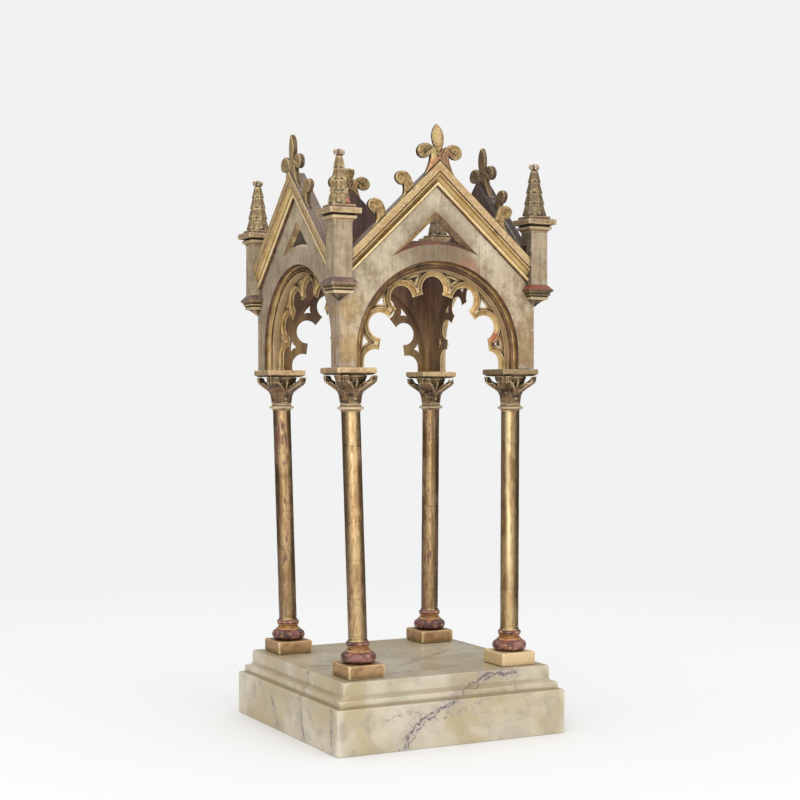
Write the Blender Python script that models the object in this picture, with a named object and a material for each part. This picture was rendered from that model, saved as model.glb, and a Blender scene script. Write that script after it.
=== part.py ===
"""A Gothic altar canopy of gilded wood on a stepped square plinth.

Four turned columns with leaf capitals carry four gabled arches. Each side of the canopy is a thin
gabled face board, a thick tracery board behind it, a chevron moulding and a fleur-de-lis finial.
The triangle over the arch is open in the main and back gables and a blind recess in the others.
A pinnacle with a scaled spire stands on each corner.

Metres, +Z up. The origin is the middle of the plinth's underside and the main face looks to -Y.
On a side of the canopy, u runs along the face to the right as seen from outside, and depth runs
inwards from the face of the board.
"""

import math

import bmesh
import bpy
from mathutils import Matrix, Vector

GAP = 0.0003

# Plinth, as half sides and heights
PLINTH_HALF = 0.2575
PLINTH_HEIGHT = 0.1375
PLINTH_BLOCK_TOP = 0.0895
PLINTH_TIER_HALF = 0.2475
PLINTH_TIER_TOP = 0.1045
PLINTH_SLAB_HALF = 0.2345
PLINTH_COVE_TOP = 0.1130
PLINTH_EASING = 0.0020

# Columns: their feet stand square on the plinth, their heads lean out of line
FOOT_HALF_SPACING = (0.1735, 0.1745)
HEAD_X = {-1: -0.1905, 1: 0.1770}
HEAD_HALF_Y = 0.1735
BLOCK_SIDE = 0.0795
BLOCK_HEIGHT = 0.0270
BLOCK_EASING = 0.0030
SHAFT_RADIUS = 0.0188
TORUS_RADIUS = 0.0355
RING_RADIUS = 0.0245
ASTRAGAL_RADIUS = 0.0272
COLUMN_TOP = 0.6755
COLUMN_SEGMENTS = 18

# Capitals and abaci
CAPITAL_TOP = 0.7320
CAPITAL_NECK = 0.0200
BELL_LIP = 0.0330
LEAF_REACH = 0.0560
ABACUS_HALF = 0.0427
ABACUS_FOOT_HALF = 0.0335
ABACUS_TOP = 0.7470

# Canopy
CANOPY_CENTRE = (-0.0090, 0.0)
CANOPY_HALF = (0.2225, 0.2085)
ABACUS_HALF_SPACING = (0.1860, 0.1735)
CROWN = 0.9618
STILE = 0.0380
FACE_BOARD = 0.0120
TRACERY_BOARD = 0.0280
ARCH_STEPS = 18

# Gables: (height of the point, height of the feet, sideways shift of the point)
GABLES = {
    "front": (1.1600, 0.9750, -0.0080),
    "right": (1.1560, 0.9720, 0.0000),
    "back": (1.1510, 0.9720, 0.0000),
    "left": (1.1510, 0.9720, 0.0000),
}
BLIND_SIDES = ("right", "left")
BLIND_THICKNESS = 0.0186
RECESS_DEPTH = 0.0090
OPENING_BAND = 0.0729
EXTRADOS_BAND = 0.0330
OPENING_BEVEL = 0.0100
RAKE_WIDTH = 0.0370
# (inset from the arch's outer line, depth)
ARCH_MOULDING = (
    (0.0000, 0.0000),
    (0.0006, 0.0018),
    (0.0040, 0.0028),
    (0.0080, 0.0052),
    (0.0098, 0.0080),
    (0.0120, 0.0090),
)
# (distance below the rake's upper edge, height above the face board)
RAKE_PROFILE = (
    (0.0000, 0.0180),
    (0.0130, 0.0180),
    (0.0140, 0.0150),
    (0.0150, 0.0200),
    (0.0175, 0.0200),
    (0.0190, 0.0150),
    (0.0230, 0.0095),
    (0.0300, 0.0065),
    (0.0320, 0.0080),
    (0.0350, 0.0085),
    (RAKE_WIDTH, 0.0050),
)

# Tracery, for the main arch; the narrower sides scale it down
TRACERY_TOP = 1.0010
REVEAL_INSET = 0.0160
REVEAL_DEPTH = 0.0120
FOIL_INSET = 0.0535
FOIL_RADIUS = 0.0248
FOIL_CHAMFER = 0.0050
CUSP_INSET = 0.0635
BROKEN_CUSPS = {"front": (2.5,)}
BROKEN_INSET = 0.0520
FOIL_PITCH = math.radians(32.7)
FOIL_STEPS = 7
REBATE_DEPTH = 0.0090
PIERCING_INSET = (0.0215, 0.0385)
PIERCING_SPREAD = math.radians(4.5)
PIERCING_TAPER = 0.62

# Crests: (depth of the carvings' middle, sideways lean of the finial's leaf, finial's height)
CRESTS = {
    "front": (-0.0110, -0.0060, 0.0740),
    "right": (0.0010, 0.0000, 0.0775),
    "back": (-0.0070, 0.0000, 0.0530),
    "left": (-0.0075, 0.0000, 0.0780),
}
SEAT = 0.0006

# Finials: the back one has lost the tip of its leaf
FINIAL_THICKNESS = 0.0140
FINIAL_LEAF_HALF = 0.0120
FINIAL_VOLUTE = (0.0350, 0.0205, 0.0155)
FINIAL_NECK_HALF = 0.0215
FINIAL_FOOT_HALF = 0.0405

# Crockets, in a frame on the rake: along it downhill, and square to it
CROCKET_THICKNESS = 0.0110
CROCKET_FOOT = 0.0480
CROCKET_HEAD = (0.0085, 0.0320)
CROCKET_HEAD_RADIUS = 0.0120
CROCKET_SHARE = {"upper": 0.29, "lower": 0.60}

# Pinnacles, standing over the canopy's corners
POST_HALF = 0.0198
POST_BOTTOM = 0.9200
POST_TOP = 1.0280
CORBEL_TIP = 0.8760
CORBEL_HALF = 0.0290
CAP_PLATE_HALF = 0.0335
CAP_STEP_HALF = 0.0245
CAP_TOP = 1.0620
SPIRE_TOP = 1.1555
SPIRE_SEGMENTS = 12
BUD_TOP = 1.1715
SUNK = {"front_left": 0.0, "front_right": 0.0, "back_right": 0.0, "back_left": 0.0110}

# Quarter turns of each side from the main face, and the crockets that are still on its rakes
SIDES = {"front": 0, "right": 1, "back": 2, "left": 3}
CROCKETS = {
    "front": (("upper", -1), ("lower", -1), ("lower", 1)),
    "right": (("upper", -1), ("upper", 1)),
    "back": (("lower", 1),),
    "left": (("upper", 1),),
}
CORNERS = {"front_left": (-1, -1), "front_right": (1, -1), "back_right": (1, 1), "back_left": (-1, 1)}
QUARTER = math.pi / 2


def clear_scene():
    for obj in list(bpy.data.objects):
        bpy.data.objects.remove(obj)


def finish(name, colour, roughness, metallic):
    """A plain Principled material."""
    material = bpy.data.materials.new(name)
    material.use_nodes = True
    shader = material.node_tree.nodes["Principled BSDF"]
    shader.inputs["Base Color"].default_value = (*colour, 1.0)
    shader.inputs["Roughness"].default_value = roughness
    shader.inputs["Metallic"].default_value = metallic
    return material


def add_piece(name, bm, material, parent=None, smooth_angle=None):
    """Closes the mesh up, points its faces outwards and puts it in the scene."""
    bmesh.ops.remove_doubles(bm, verts=bm.verts, dist=1e-6)
    bmesh.ops.recalc_face_normals(bm, faces=bm.faces)
    mesh = bpy.data.meshes.new(name)
    bm.to_mesh(mesh)
    bm.free()
    mesh.materials.append(material)
    if smooth_angle:
        mesh.shade_smooth()
        mesh.set_sharp_from_angle(angle=smooth_angle)
    piece = bpy.data.objects.new(name, mesh)
    bpy.context.scene.collection.objects.link(piece)
    piece.parent = parent
    return piece


def add_empty(name, location, turn):
    empty = bpy.data.objects.new(name, None)
    bpy.context.scene.collection.objects.link(empty)
    empty.location = location
    empty.rotation_euler.z = turn
    return empty


def loft(rings):
    """A closed body through rings of equally many points, flat at both ends."""
    bm = bmesh.new()
    rows = [[bm.verts.new(point) for point in ring] for ring in rings]
    for lower, upper in zip(rows, rows[1:]):
        for i in range(len(lower)):
            j = (i + 1) % len(lower)
            bm.faces.new((lower[i], lower[j], upper[j], upper[i]))
    bm.faces.new(reversed(rows[0]))
    bm.faces.new(rows[-1])
    return bm


def square_rings(profile):
    """Square rings from (half side, height) pairs."""
    corners = ((-1, -1), (1, -1), (1, 1), (-1, 1))
    return [[(half * x, half * y, z) for x, y in corners] for half, z in profile]


def round_rings(profile, segments, lean=(0.0, 0.0), swell=None):
    """Round rings from (radius, height) pairs; lean shifts the top, swell adds lobes to a radius."""
    low = profile[0][1]
    high = profile[-1][1]
    rings = []
    for radius, z in profile:
        share = (z - low) / (high - low)
        ring = []
        for i in range(segments):
            angle = 2 * math.pi * i / segments
            reach = radius + (swell(angle, z) if swell else 0.0)
            x = reach * math.cos(angle) + lean[0] * share
            y = reach * math.sin(angle) + lean[1] * share
            ring.append((x, y, z))
        rings.append(ring)
    return rings


def arc(centre, radius, start, end, steps):
    """Points on an arc in a plane, angles counted from the first axis towards the second."""
    points = []
    for i in range(steps + 1):
        angle = start + (end - start) * i / steps
        points.append((centre[0] + radius * math.cos(angle), centre[1] + radius * math.sin(angle)))
    return points


def plinth(material):
    cove_depth = PLINTH_TIER_HALF - PLINTH_SLAB_HALF
    cove_rise = PLINTH_COVE_TOP - PLINTH_TIER_TOP
    cove = []
    for x, z in arc((0.0, 1.0), 1.0, -math.pi / 2, -math.pi, 4):
        cove.append((PLINTH_SLAB_HALF + cove_depth * (1.0 + x), PLINTH_TIER_TOP + cove_rise * z))
    profile = [
        (PLINTH_HALF, 0.0),
        (PLINTH_HALF, PLINTH_BLOCK_TOP - PLINTH_EASING),
        (PLINTH_HALF - PLINTH_EASING, PLINTH_BLOCK_TOP),
        (PLINTH_TIER_HALF, PLINTH_BLOCK_TOP),
        *cove,
        (PLINTH_SLAB_HALF, PLINTH_HEIGHT - PLINTH_EASING),
        (PLINTH_SLAB_HALF - PLINTH_EASING, PLINTH_HEIGHT),
    ]
    add_piece("plinth", loft(square_rings(profile)), material)


def column_block(name, foot, material):
    """A square block with eased edges."""
    bottom = PLINTH_HEIGHT + GAP
    top = bottom + BLOCK_HEIGHT
    bm = loft(square_rings(((BLOCK_SIDE / 2, bottom), (BLOCK_SIDE / 2, top))))
    bmesh.ops.bevel(bm, geom=bm.edges[:], offset=BLOCK_EASING, segments=1, affect="EDGES")
    piece = add_piece(name, bm, material)
    piece.location = (*foot, 0.0)


def column(name, foot, head, material):
    """A turned column from its torus to its astragal, leaning from its foot to its head."""
    base = PLINTH_HEIGHT + BLOCK_HEIGHT + 2 * GAP
    torus_middle = base + 0.0110
    profile = [
        (TORUS_RADIUS - 0.0030, base),
        (TORUS_RADIUS, torus_middle - 0.0040),
        (TORUS_RADIUS, torus_middle + 0.0040),
        (TORUS_RADIUS - 0.0050, base + 0.0215),
        (RING_RADIUS + 0.0010, base + 0.0250),
        (RING_RADIUS - 0.0035, base + 0.0300),
        (RING_RADIUS, base + 0.0345),
        (RING_RADIUS, base + 0.0385),
        (SHAFT_RADIUS, base + 0.0440),
        (SHAFT_RADIUS, COLUMN_TOP - 0.0140),
        (ASTRAGAL_RADIUS, COLUMN_TOP - 0.0085),
        (SHAFT_RADIUS + 0.0020, COLUMN_TOP - 0.0035),
        (SHAFT_RADIUS + 0.0030, COLUMN_TOP),
    ]
    lean = (head[0] - foot[0], head[1] - foot[1])
    bm = loft(round_rings(profile, COLUMN_SEGMENTS, lean))
    piece = add_piece(name, bm, material, smooth_angle=math.radians(35))
    piece.location = (*foot, 0.0)


def capital(name, head, material):
    """A bell with four large leaves that curl out at the corners and four small ones between."""
    bottom = COLUMN_TOP + GAP
    leaf_tip = CAPITAL_TOP - 0.0050

    def leaves(angle, z):
        rise = (z - bottom) / (leaf_tip - bottom)
        if rise > 1.01:
            return 0.0
        corner = max(0.0, -math.cos(4 * angle))
        side = max(0.0, math.cos(4 * angle))
        return (LEAF_REACH - BELL_LIP) * corner * rise**2 + 0.0050 * side * rise

    profile = [
        (CAPITAL_NECK, bottom),
        (CAPITAL_NECK + 0.0020, bottom + 0.0160),
        (CAPITAL_NECK + 0.0060, bottom + 0.0290),
        (BELL_LIP - 0.0030, bottom + 0.0430),
        (BELL_LIP, leaf_tip),
        (BELL_LIP, leaf_tip + 0.0006),
        (BELL_LIP, CAPITAL_TOP),
    ]
    rings = round_rings(profile, 16, swell=leaves)
    piece = add_piece(name, loft(rings), material, smooth_angle=math.radians(40))
    piece.location = (*head, 0.0)


def abacus(name, centre, material):
    """A square plate, bevelled under."""
    bottom = CAPITAL_TOP + GAP
    profile = (
        (ABACUS_FOOT_HALF, bottom),
        (ABACUS_HALF - 0.0015, bottom + 0.0055),
        (ABACUS_HALF, bottom + 0.0070),
        (ABACUS_HALF, ABACUS_TOP - 0.0010),
        (ABACUS_HALF - 0.0010, ABACUS_TOP),
    )
    piece = add_piece(name, loft(square_rings(profile)), material)
    piece.location = (*centre, 0.0)


class Board:
    """An upright board, built from flat fills at one depth and walls between two depths."""

    def __init__(self):
        self.bm = bmesh.new()

    def fill(self, loops, depth):
        """A flat face at one depth: the first loop bounds it and the others pierce it."""
        edges = []
        for loop in loops:
            verts = [self.bm.verts.new((u, depth, z)) for u, z in loop]
            for i, vert in enumerate(verts):
                edges.append(self.bm.edges.new((vert, verts[(i + 1) % len(verts)])))
        bmesh.ops.triangle_fill(self.bm, use_beauty=True, use_dissolve=False, edges=edges)

    def wall(self, path, other, depth, other_depth, closed=False):
        """Four-sided faces between two paths with equally many points."""
        near = [self.bm.verts.new((u, depth, z)) for u, z in path]
        far = [self.bm.verts.new((u, other_depth, z)) for u, z in other]
        for i in range(len(path) - (not closed)):
            j = (i + 1) % len(path)
            self.bm.faces.new((near[i], near[j], far[j], far[i]))

    def foot(self, corners, z):
        """The flat underside of one leg, from (u, depth) corners."""
        self.bm.faces.new([self.bm.verts.new((u, depth, z)) for u, depth in corners])


def arch_path(radius, spring, foot):
    """A stilted round arch from its left foot over the crown to its right foot, as (u, z)."""
    curve = arc((0.0, spring), radius, math.pi, 0.0, ARCH_STEPS)
    return [(-radius, foot), *curve, (radius, foot)]


class Gable:
    """The upper edge of one gable, whose feet are at the inner faces of the pinnacles."""

    def __init__(self, half, point, foot, shift):
        self.half = half
        self.point = point
        self.foot = foot
        self.shift = shift
        self.radius = half - STILE
        self.spring = CROWN - self.radius
        self.stretch = math.hypot(1.0, (point - foot) / (half - POST_HALF))

    def run(self, sign):
        return self.half - POST_HALF - sign * self.shift

    def height(self, u, drop=0.0):
        sign = 1 if u > self.shift else -1
        share = abs(u - self.shift) / self.run(sign)
        return self.point - drop - (self.point - self.foot) * share


def opening_loop(gable, bevel):
    """The triangle over the arch: two sides parallel to the rakes and the arch's back below."""
    drop = (OPENING_BAND + bevel) * gable.stretch
    back = gable.radius + EXTRADOS_BAND + 0.8 * bevel
    ends = []
    for sign in (1, -1):
        low = 0.0
        high = back
        for _ in range(40):
            middle = (low + high) / 2
            on_arch = gable.spring + math.sqrt(back**2 - middle**2)
            if gable.height(sign * middle, drop) > on_arch:
                low = middle
            else:
                high = middle
        ends.append(math.atan2(math.sqrt(back**2 - low**2), sign * low))
    point = (gable.shift, gable.height(gable.shift, drop))
    return [point, *arc((0.0, gable.spring), back, ends[0], ends[1], 8)]


def gable_panel(name, gable, span, blind, side, material):
    """The thin face board. span is how far it reaches to either side; a blind one has no hole through
    its triangle, and is thicker above the tracery board."""
    foot = ABACUS_TOP + GAP
    ledge = TRACERY_TOP + GAP
    reach = (gable.half - POST_HALF) * (gable.point - ledge) / (gable.point - gable.foot)
    upper = [(reach, ledge), (gable.shift, gable.point), (-reach, ledge)]
    right = [(span, foot), (span, gable.height(span))]
    left = [(-span, gable.height(-span)), (-span, foot)]
    outline = [*right, *(upper if blind else upper[1:2]), *left]
    arches = []
    for inset, depth in ARCH_MOULDING:
        arches.append((arch_path(gable.radius - inset, gable.spring, foot), depth))
    arches.append((arches[-1][0], FACE_BOARD))
    mouth = opening_loop(gable, 0.0)
    throat = opening_loop(gable, OPENING_BEVEL)
    board = Board()
    board.fill((outline + arches[0][0], mouth), 0.0)
    board.wall(outline, outline, 0.0, FACE_BOARD)
    board.wall(mouth, throat, 0.0, RECESS_DEPTH, closed=True)
    for (path, depth), (other, other_depth) in zip(arches, arches[1:]):
        board.wall(path, other, depth, other_depth)
    if blind:
        board.fill((throat,), RECESS_DEPTH)
        board.fill(([*right, upper[0], upper[2], *left, *arches[-1][0]],), FACE_BOARD)
        board.wall(upper, upper, FACE_BOARD, BLIND_THICKNESS, closed=True)
        board.fill((upper,), BLIND_THICKNESS)
    else:
        board.wall(throat, throat, RECESS_DEPTH, FACE_BOARD, closed=True)
        board.fill((outline + arches[-1][0], throat), FACE_BOARD)
    for sign in (-1, 1):
        inner = [(sign * (gable.radius - inset), depth) for inset, depth in ARCH_MOULDING]
        inner.append((inner[-1][0], FACE_BOARD))
        board.foot([(sign * span, FACE_BOARD), (sign * span, 0.0), *inner], foot)
    add_piece(name, board.bm, material, parent=side)


def foil_path(radius, spring, foot, widen, broken):
    """The cusped edge from foot to foot: five foils, with a half foil at each end. Cusps are counted
    in foils from the crown, and the broken ones end short."""
    scale = (radius - FOIL_INSET) / (CANOPY_HALF[0] - STILE - FOIL_INSET)
    ring = radius - FOIL_INSET
    foil = FOIL_RADIUS * scale + widen
    path = [(-ring * math.sin(3 * FOIL_PITCH) - foil, foot)]
    for k in range(-3, 4):
        centre = (ring * math.sin(k * FOIL_PITCH), spring + ring * math.cos(k * FOIL_PITCH))
        turns = []
        for sign in (-1, 1):
            inset = BROKEN_INSET if k + sign / 2 in broken else CUSP_INSET
            tip = ring - (inset - FOIL_INSET) * scale + 0.6 * widen
            reach = math.acos((tip**2 + ring**2 - foil**2) / (2 * tip * ring))
            tip_angle = k * FOIL_PITCH + sign * reach
            corner = (tip * math.sin(tip_angle), spring + tip * math.cos(tip_angle))
            turns.append(math.atan2(corner[1] - centre[1], corner[0] - centre[0]))
        outward = math.pi / 2 - k * FOIL_PITCH
        start = outward + (turns[0] - outward) % (2 * math.pi)
        end = outward - (outward - turns[1]) % (2 * math.pi)
        steps = FOIL_STEPS
        if k == -3:
            start, steps = math.pi, FOIL_STEPS // 2
        if k == 3:
            end, steps = 0.0, FOIL_STEPS // 2
        path += arc(centre, foil, start, end, steps)
    path.append((ring * math.sin(3 * FOIL_PITCH) + foil, foot))
    return path


def piercing_loop(radius, spring, middle, scale):
    """A small triangle between two foils and the arch, shrunk about its middle by scale."""
    outer = radius - PIERCING_INSET[0]
    inner = radius - PIERCING_INSET[1]
    turns = ((outer, middle - PIERCING_SPREAD), (outer, middle + PIERCING_SPREAD), (inner, middle))
    corners = []
    for reach, angle in turns:
        corners.append(Vector((reach * math.sin(angle), spring + reach * math.cos(angle))))
    centre = sum(corners, Vector((0.0, 0.0))) / len(corners)
    return [tuple(centre + (corner - centre) * scale) for corner in corners]


def tracery(name, gable, span, broken, side, material):
    """The inner board: a plain reveal, cusped tracery with a chamfered edge, and a rebate behind."""
    radius = gable.radius
    spring = gable.spring
    foot = ABACUS_TOP + GAP
    front = FACE_BOARD + GAP
    shelf = front + REVEAL_DEPTH
    back = front + TRACERY_BOARD
    rear_shelf = back - REBATE_DEPTH
    outline = [(span, foot), (span, TRACERY_TOP), (-span, TRACERY_TOP), (-span, foot)]
    reveal = arch_path(radius - REVEAL_INSET, spring, foot)
    wide = foil_path(radius, spring, foot, FOIL_CHAMFER, broken)
    narrow = foil_path(radius, spring, foot, 0.0, broken)
    middles = [(k + 0.5) * FOIL_PITCH for k in range(-3, 3)]
    mouths = [piercing_loop(radius, spring, middle, 1.0) for middle in middles]
    throats = [piercing_loop(radius, spring, middle, PIERCING_TAPER) for middle in middles]
    board = Board()
    board.fill([outline + reveal], front)
    board.fill([reveal + wide[::-1], *mouths], shelf)
    board.fill([reveal + narrow[::-1], *throats], rear_shelf)
    board.fill([outline + reveal], back)
    board.wall(outline, outline, front, back)
    board.wall(reveal, reveal, front, shelf)
    board.wall(reveal, reveal, rear_shelf, back)
    board.wall(wide, narrow, shelf, rear_shelf)
    for mouth, throat in zip(mouths, throats):
        board.wall(mouth, throat, shelf, rear_shelf, closed=True)
    edge = radius - REVEAL_INSET
    for sign in (-1, 1):
        section = [
            (sign * span, back),
            (sign * span, front),
            (sign * edge, front),
            (sign * edge, shelf),
            (sign * abs(wide[0][0]), shelf),
            (sign * abs(narrow[0][0]), rear_shelf),
            (sign * edge, rear_shelf),
            (sign * edge, back),
        ]
        board.foot(section, foot)
    add_piece(name, board.bm, material, parent=side)


def rake_moulding(name, gable, side, material):
    """A chevron of moulding on the face board, cut upright at the point and against the pinnacles."""
    reach = gable.half - POST_HALF - GAP
    section = [(0.0, -GAP), *((s, -proud) for s, proud in RAKE_PROFILE), (RAKE_WIDTH, -GAP)]
    rings = []
    for u in (-reach, gable.shift, reach):
        top = gable.height(u)
        rings.append([(u, depth, top - s * gable.stretch) for s, depth in section])
    add_piece(name, loft(rings), material, parent=side)


def plate(outline, thickness, middle):
    """A flat outline given its thickness to either side of a middle depth."""
    faces = (middle - thickness / 2, middle + thickness / 2)
    return loft([[(u, depth, z) for u, z in outline] for depth in faces])


def finial(name, gable, crest, side, material):
    """A fleur-de-lis: a stem that spreads onto the rakes, two volutes and a pointed leaf."""
    middle, lean, height = crest
    volute_u, volute_z, volute_radius = FINIAL_VOLUTE
    shoulders = ((FINIAL_LEAF_HALF, 0.0500), (0.0060, height - 0.0100))
    outline = [(0.0, SEAT)]
    for sign in (1, -1):
        foot_z = gable.height(gable.shift + sign * FINIAL_FOOT_HALF) - gable.point + SEAT
        arm = [
            (FINIAL_FOOT_HALF, foot_z),
            (FINIAL_FOOT_HALF - 0.0090, foot_z + 0.0190),
            (FINIAL_NECK_HALF + 0.0020, -0.0040),
            (FINIAL_NECK_HALF, 0.0050),
            *arc((volute_u, volute_z), volute_radius, -2.0, 2.8, 7),
            (0.0075, 0.0330),
        ]
        arm += [(u + sign * lean, z) for u, z in shoulders if z > 0.0450]
        if sign > 0:
            outline += [*arm, (lean, height)]
        else:
            outline += [(-u, z) for u, z in reversed(arm)]
    bm = plate(outline, FINIAL_THICKNESS, middle)
    piece = add_piece(name, bm, material, parent=side)
    piece.location = (gable.shift, 0.0, gable.point)


def crocket(name, gable, middle, share, sign, side, material):
    """A leaf that rises from the rake and curls over downhill. share counts from the gable's point."""
    run = gable.run(sign)
    slope = (gable.point - gable.foot) / run
    along = Vector((sign, -slope)).normalized()
    outward = Vector((sign * slope, 1.0)).normalized()
    start = Vector((gable.shift + sign * share * run, gable.point - share * run * slope))
    profile = [
        (0.0000, SEAT),
        (CROCKET_FOOT, SEAT),
        (0.0300, 0.0045),
        (0.0205, 0.0115),
        (0.0165, 0.0195),
        *arc(CROCKET_HEAD, CROCKET_HEAD_RADIUS, -0.6, 2.3, 6),
        (-0.0065, 0.0325),
        (-0.0080, 0.0230),
        (-0.0020, 0.0080),
    ]
    outline = [tuple(start + along * a + outward * b) for a, b in profile]
    add_piece(name, plate(outline, CROCKET_THICKNESS, middle), material, parent=side)


def corner_ring(half, z, notched=True):
    """A square ring; notched, its quarter towards the canopy's inside is cut away."""
    inner = -GAP if half > GAP else 0.0
    fourth = (inner, inner) if notched else (half, half)
    ring = ((-half, -half), (half, -half), (half, inner), fourth, (inner, half), (-half, half))
    return [(x, y, z) for x, y in ring]


def pinnacle_corbel(name, corner, material):
    """Square bands that widen upwards from a point on the canopy's corner."""
    profile = (
        (0.0015, 0.0000),
        (0.0060, 0.0065),
        (0.0200, 0.0160),
        (0.0200, 0.0195),
        (0.0235, 0.0220),
        (0.0240, 0.0270),
        (CORBEL_HALF, 0.0300),
        (CORBEL_HALF, 0.0380),
        (POST_HALF + 0.0010, POST_BOTTOM - GAP - CORBEL_TIP),
    )
    rings = [corner_ring(half, CORBEL_TIP + rise) for half, rise in profile]
    add_piece(name, loft(rings), material, parent=corner)


def pinnacle_post(name, corner, sunk, material):
    """A square post, notched where it straddles the canopy's corner."""
    notch_top = TRACERY_TOP + GAP + sunk
    rings = [
        corner_ring(POST_HALF, POST_BOTTOM),
        corner_ring(POST_HALF, notch_top),
        corner_ring(POST_HALF, notch_top, notched=False),
        corner_ring(POST_HALF, POST_TOP - GAP, notched=False),
    ]
    add_piece(name, loft(rings), material, parent=corner)


def pinnacle_cap(name, corner, material):
    """A cavetto under a wide plate, with a smaller plate on it."""
    profile = (
        (POST_HALF + 0.0006, POST_TOP),
        (POST_HALF + 0.0014, POST_TOP + 0.0050),
        (POST_HALF + 0.0050, POST_TOP + 0.0110),
        (POST_HALF + 0.0060, POST_TOP + 0.0140),
        (CAP_PLATE_HALF - 0.0030, POST_TOP + 0.0155),
        (CAP_PLATE_HALF, POST_TOP + 0.0185),
        (CAP_PLATE_HALF, POST_TOP + 0.0255),
        (CAP_PLATE_HALF - 0.0020, POST_TOP + 0.0270),
        (CAP_STEP_HALF, POST_TOP + 0.0270),
        (CAP_STEP_HALF, CAP_TOP - 0.0010),
        (CAP_STEP_HALF - 0.0010, CAP_TOP),
    )
    add_piece(name, loft(square_rings(profile)), material, parent=corner)


def pinnacle_spire(name, corner, material):
    """Four tiers that each overhang the one below, and a four-lobed bud on top."""
    bottom = CAP_TOP + GAP
    edges = [(0.0240, bottom), (0.0227, 1.0775), (0.0178, 1.1035), (0.0127, 1.1300), (0.0065, SPIRE_TOP)]
    profile = []
    for (radius, z), (next_radius, next_z) in zip(edges, edges[1:]):
        overhang = 0.0016 if next_z < SPIRE_TOP else 0.0
        profile += [(radius, z), (next_radius - overhang, next_z - 0.0008)]
    bud = ((0.0055, SPIRE_TOP), (0.0095, SPIRE_TOP + 0.0050), (0.0095, BUD_TOP - 0.0050), (0.0040, BUD_TOP))
    profile += bud

    def lobes(angle, z):
        in_bud = SPIRE_TOP < z < BUD_TOP
        return 0.0030 * abs(math.cos(2 * angle)) if in_bud else 0.0

    rings = round_rings(profile, SPIRE_SEGMENTS, swell=lobes)
    add_piece(name, loft(rings), material, parent=corner, smooth_angle=math.radians(35))


def build_columns(gilt):
    for tag, (x_sign, y_sign) in CORNERS.items():
        foot = (x_sign * FOOT_HALF_SPACING[0], y_sign * FOOT_HALF_SPACING[1])
        head = (HEAD_X[x_sign], y_sign * HEAD_HALF_Y)
        above = (CANOPY_CENTRE[0] + x_sign * ABACUS_HALF_SPACING[0], y_sign * ABACUS_HALF_SPACING[1])
        column_block(f"column_block_{tag}", foot, gilt)
        column(f"column_{tag}", foot, head, gilt)
        capital(f"capital_{tag}", head, gilt)
        abacus(f"abacus_{tag}", above, gilt)


def build_side(tag, quarter, gilt, field):
    """One gabled side of the canopy, in a frame whose origin is on its face board at floor height."""
    on_main_axis = quarter % 2 == 0
    half, offset = CANOPY_HALF if on_main_axis else reversed(CANOPY_HALF)
    gable = Gable(half, *GABLES[tag])
    turn = Matrix.Rotation(quarter * QUARTER, 3, "Z")
    place = Vector((*CANOPY_CENTRE, 0.0)) + turn @ Vector((0.0, -offset, 0.0))
    side = add_empty(f"side_{tag}", place, quarter * QUARTER)

    behind_face = half - FACE_BOARD - GAP
    span = half if on_main_axis else behind_face
    inner_span = behind_face if on_main_axis else behind_face - TRACERY_BOARD - GAP
    gable_panel(f"gable_panel_{tag}", gable, span, tag in BLIND_SIDES, side, field)
    tracery(f"tracery_{tag}", gable, inner_span, BROKEN_CUSPS.get(tag, ()), side, gilt)
    rake_moulding(f"rake_moulding_{tag}", gable, side, gilt)
    finial(f"finial_{tag}", gable, CRESTS[tag], side, gilt)
    for level, sign in CROCKETS[tag]:
        name = f"crocket_{tag}_{'right' if sign > 0 else 'left'}_{level}"
        crocket(name, gable, CRESTS[tag][0], CROCKET_SHARE[level], sign, side, gilt)


def build_pinnacle(tag, signs, gilt, field):
    """One pinnacle, in a frame at the canopy's corner whose +X and +Y look into the canopy."""
    turns = {(-1, -1): 0, (1, -1): 1, (1, 1): 2, (-1, 1): 3}
    sunk = SUNK[tag]
    place = (
        CANOPY_CENTRE[0] + signs[0] * CANOPY_HALF[0],
        CANOPY_CENTRE[1] + signs[1] * CANOPY_HALF[1],
        -sunk,
    )
    corner = add_empty(f"corner_{tag}", place, turns[signs] * QUARTER)
    pinnacle_corbel(f"pinnacle_corbel_{tag}", corner, gilt)
    pinnacle_post(f"pinnacle_post_{tag}", corner, sunk, field)
    pinnacle_cap(f"pinnacle_cap_{tag}", corner, gilt)
    pinnacle_spire(f"pinnacle_spire_{tag}", corner, gilt)


def build():
    clear_scene()
    gilt = finish("gilded_wood", (0.62, 0.43, 0.16), 0.38, 0.75)
    field = finish("painted_wood", (0.55, 0.49, 0.36), 0.75, 0.0)
    marbled = finish("marbled_wood", (0.78, 0.72, 0.58), 0.45, 0.0)
    plinth(marbled)
    build_columns(gilt)
    for tag, quarter in SIDES.items():
        build_side(tag, quarter, gilt, field)
    for tag, signs in CORNERS.items():
        build_pinnacle(tag, signs, gilt, field)


build()
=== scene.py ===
# %% [markdown]
# # A Gothic altar canopy in worn gilding
#
# The object is a small canopy that once stood over a figure on an altar. Four turned columns carry four
# gabled arches with cusped tracery, fleur-de-lis finials, crockets and corner pinnacles, and the whole
# stands on a stepped plinth painted as marble. The wood was covered with white gesso, then red clay
# (bole), then gold leaf or paint, and a century of handling has rubbed each layer through to the next.
#
# The packed model is the frame of this lesson: it gives every size and place. Each cell below makes one
# kind of piece around it, finer than the frame's own solids, and names the solids that it stands for.

# %% Load the frame
import math

import bmesh
import bpy
import numpy as np
from mathutils import Matrix, Vector, noise
from mathutils.bvhtree import BVHTree


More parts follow.
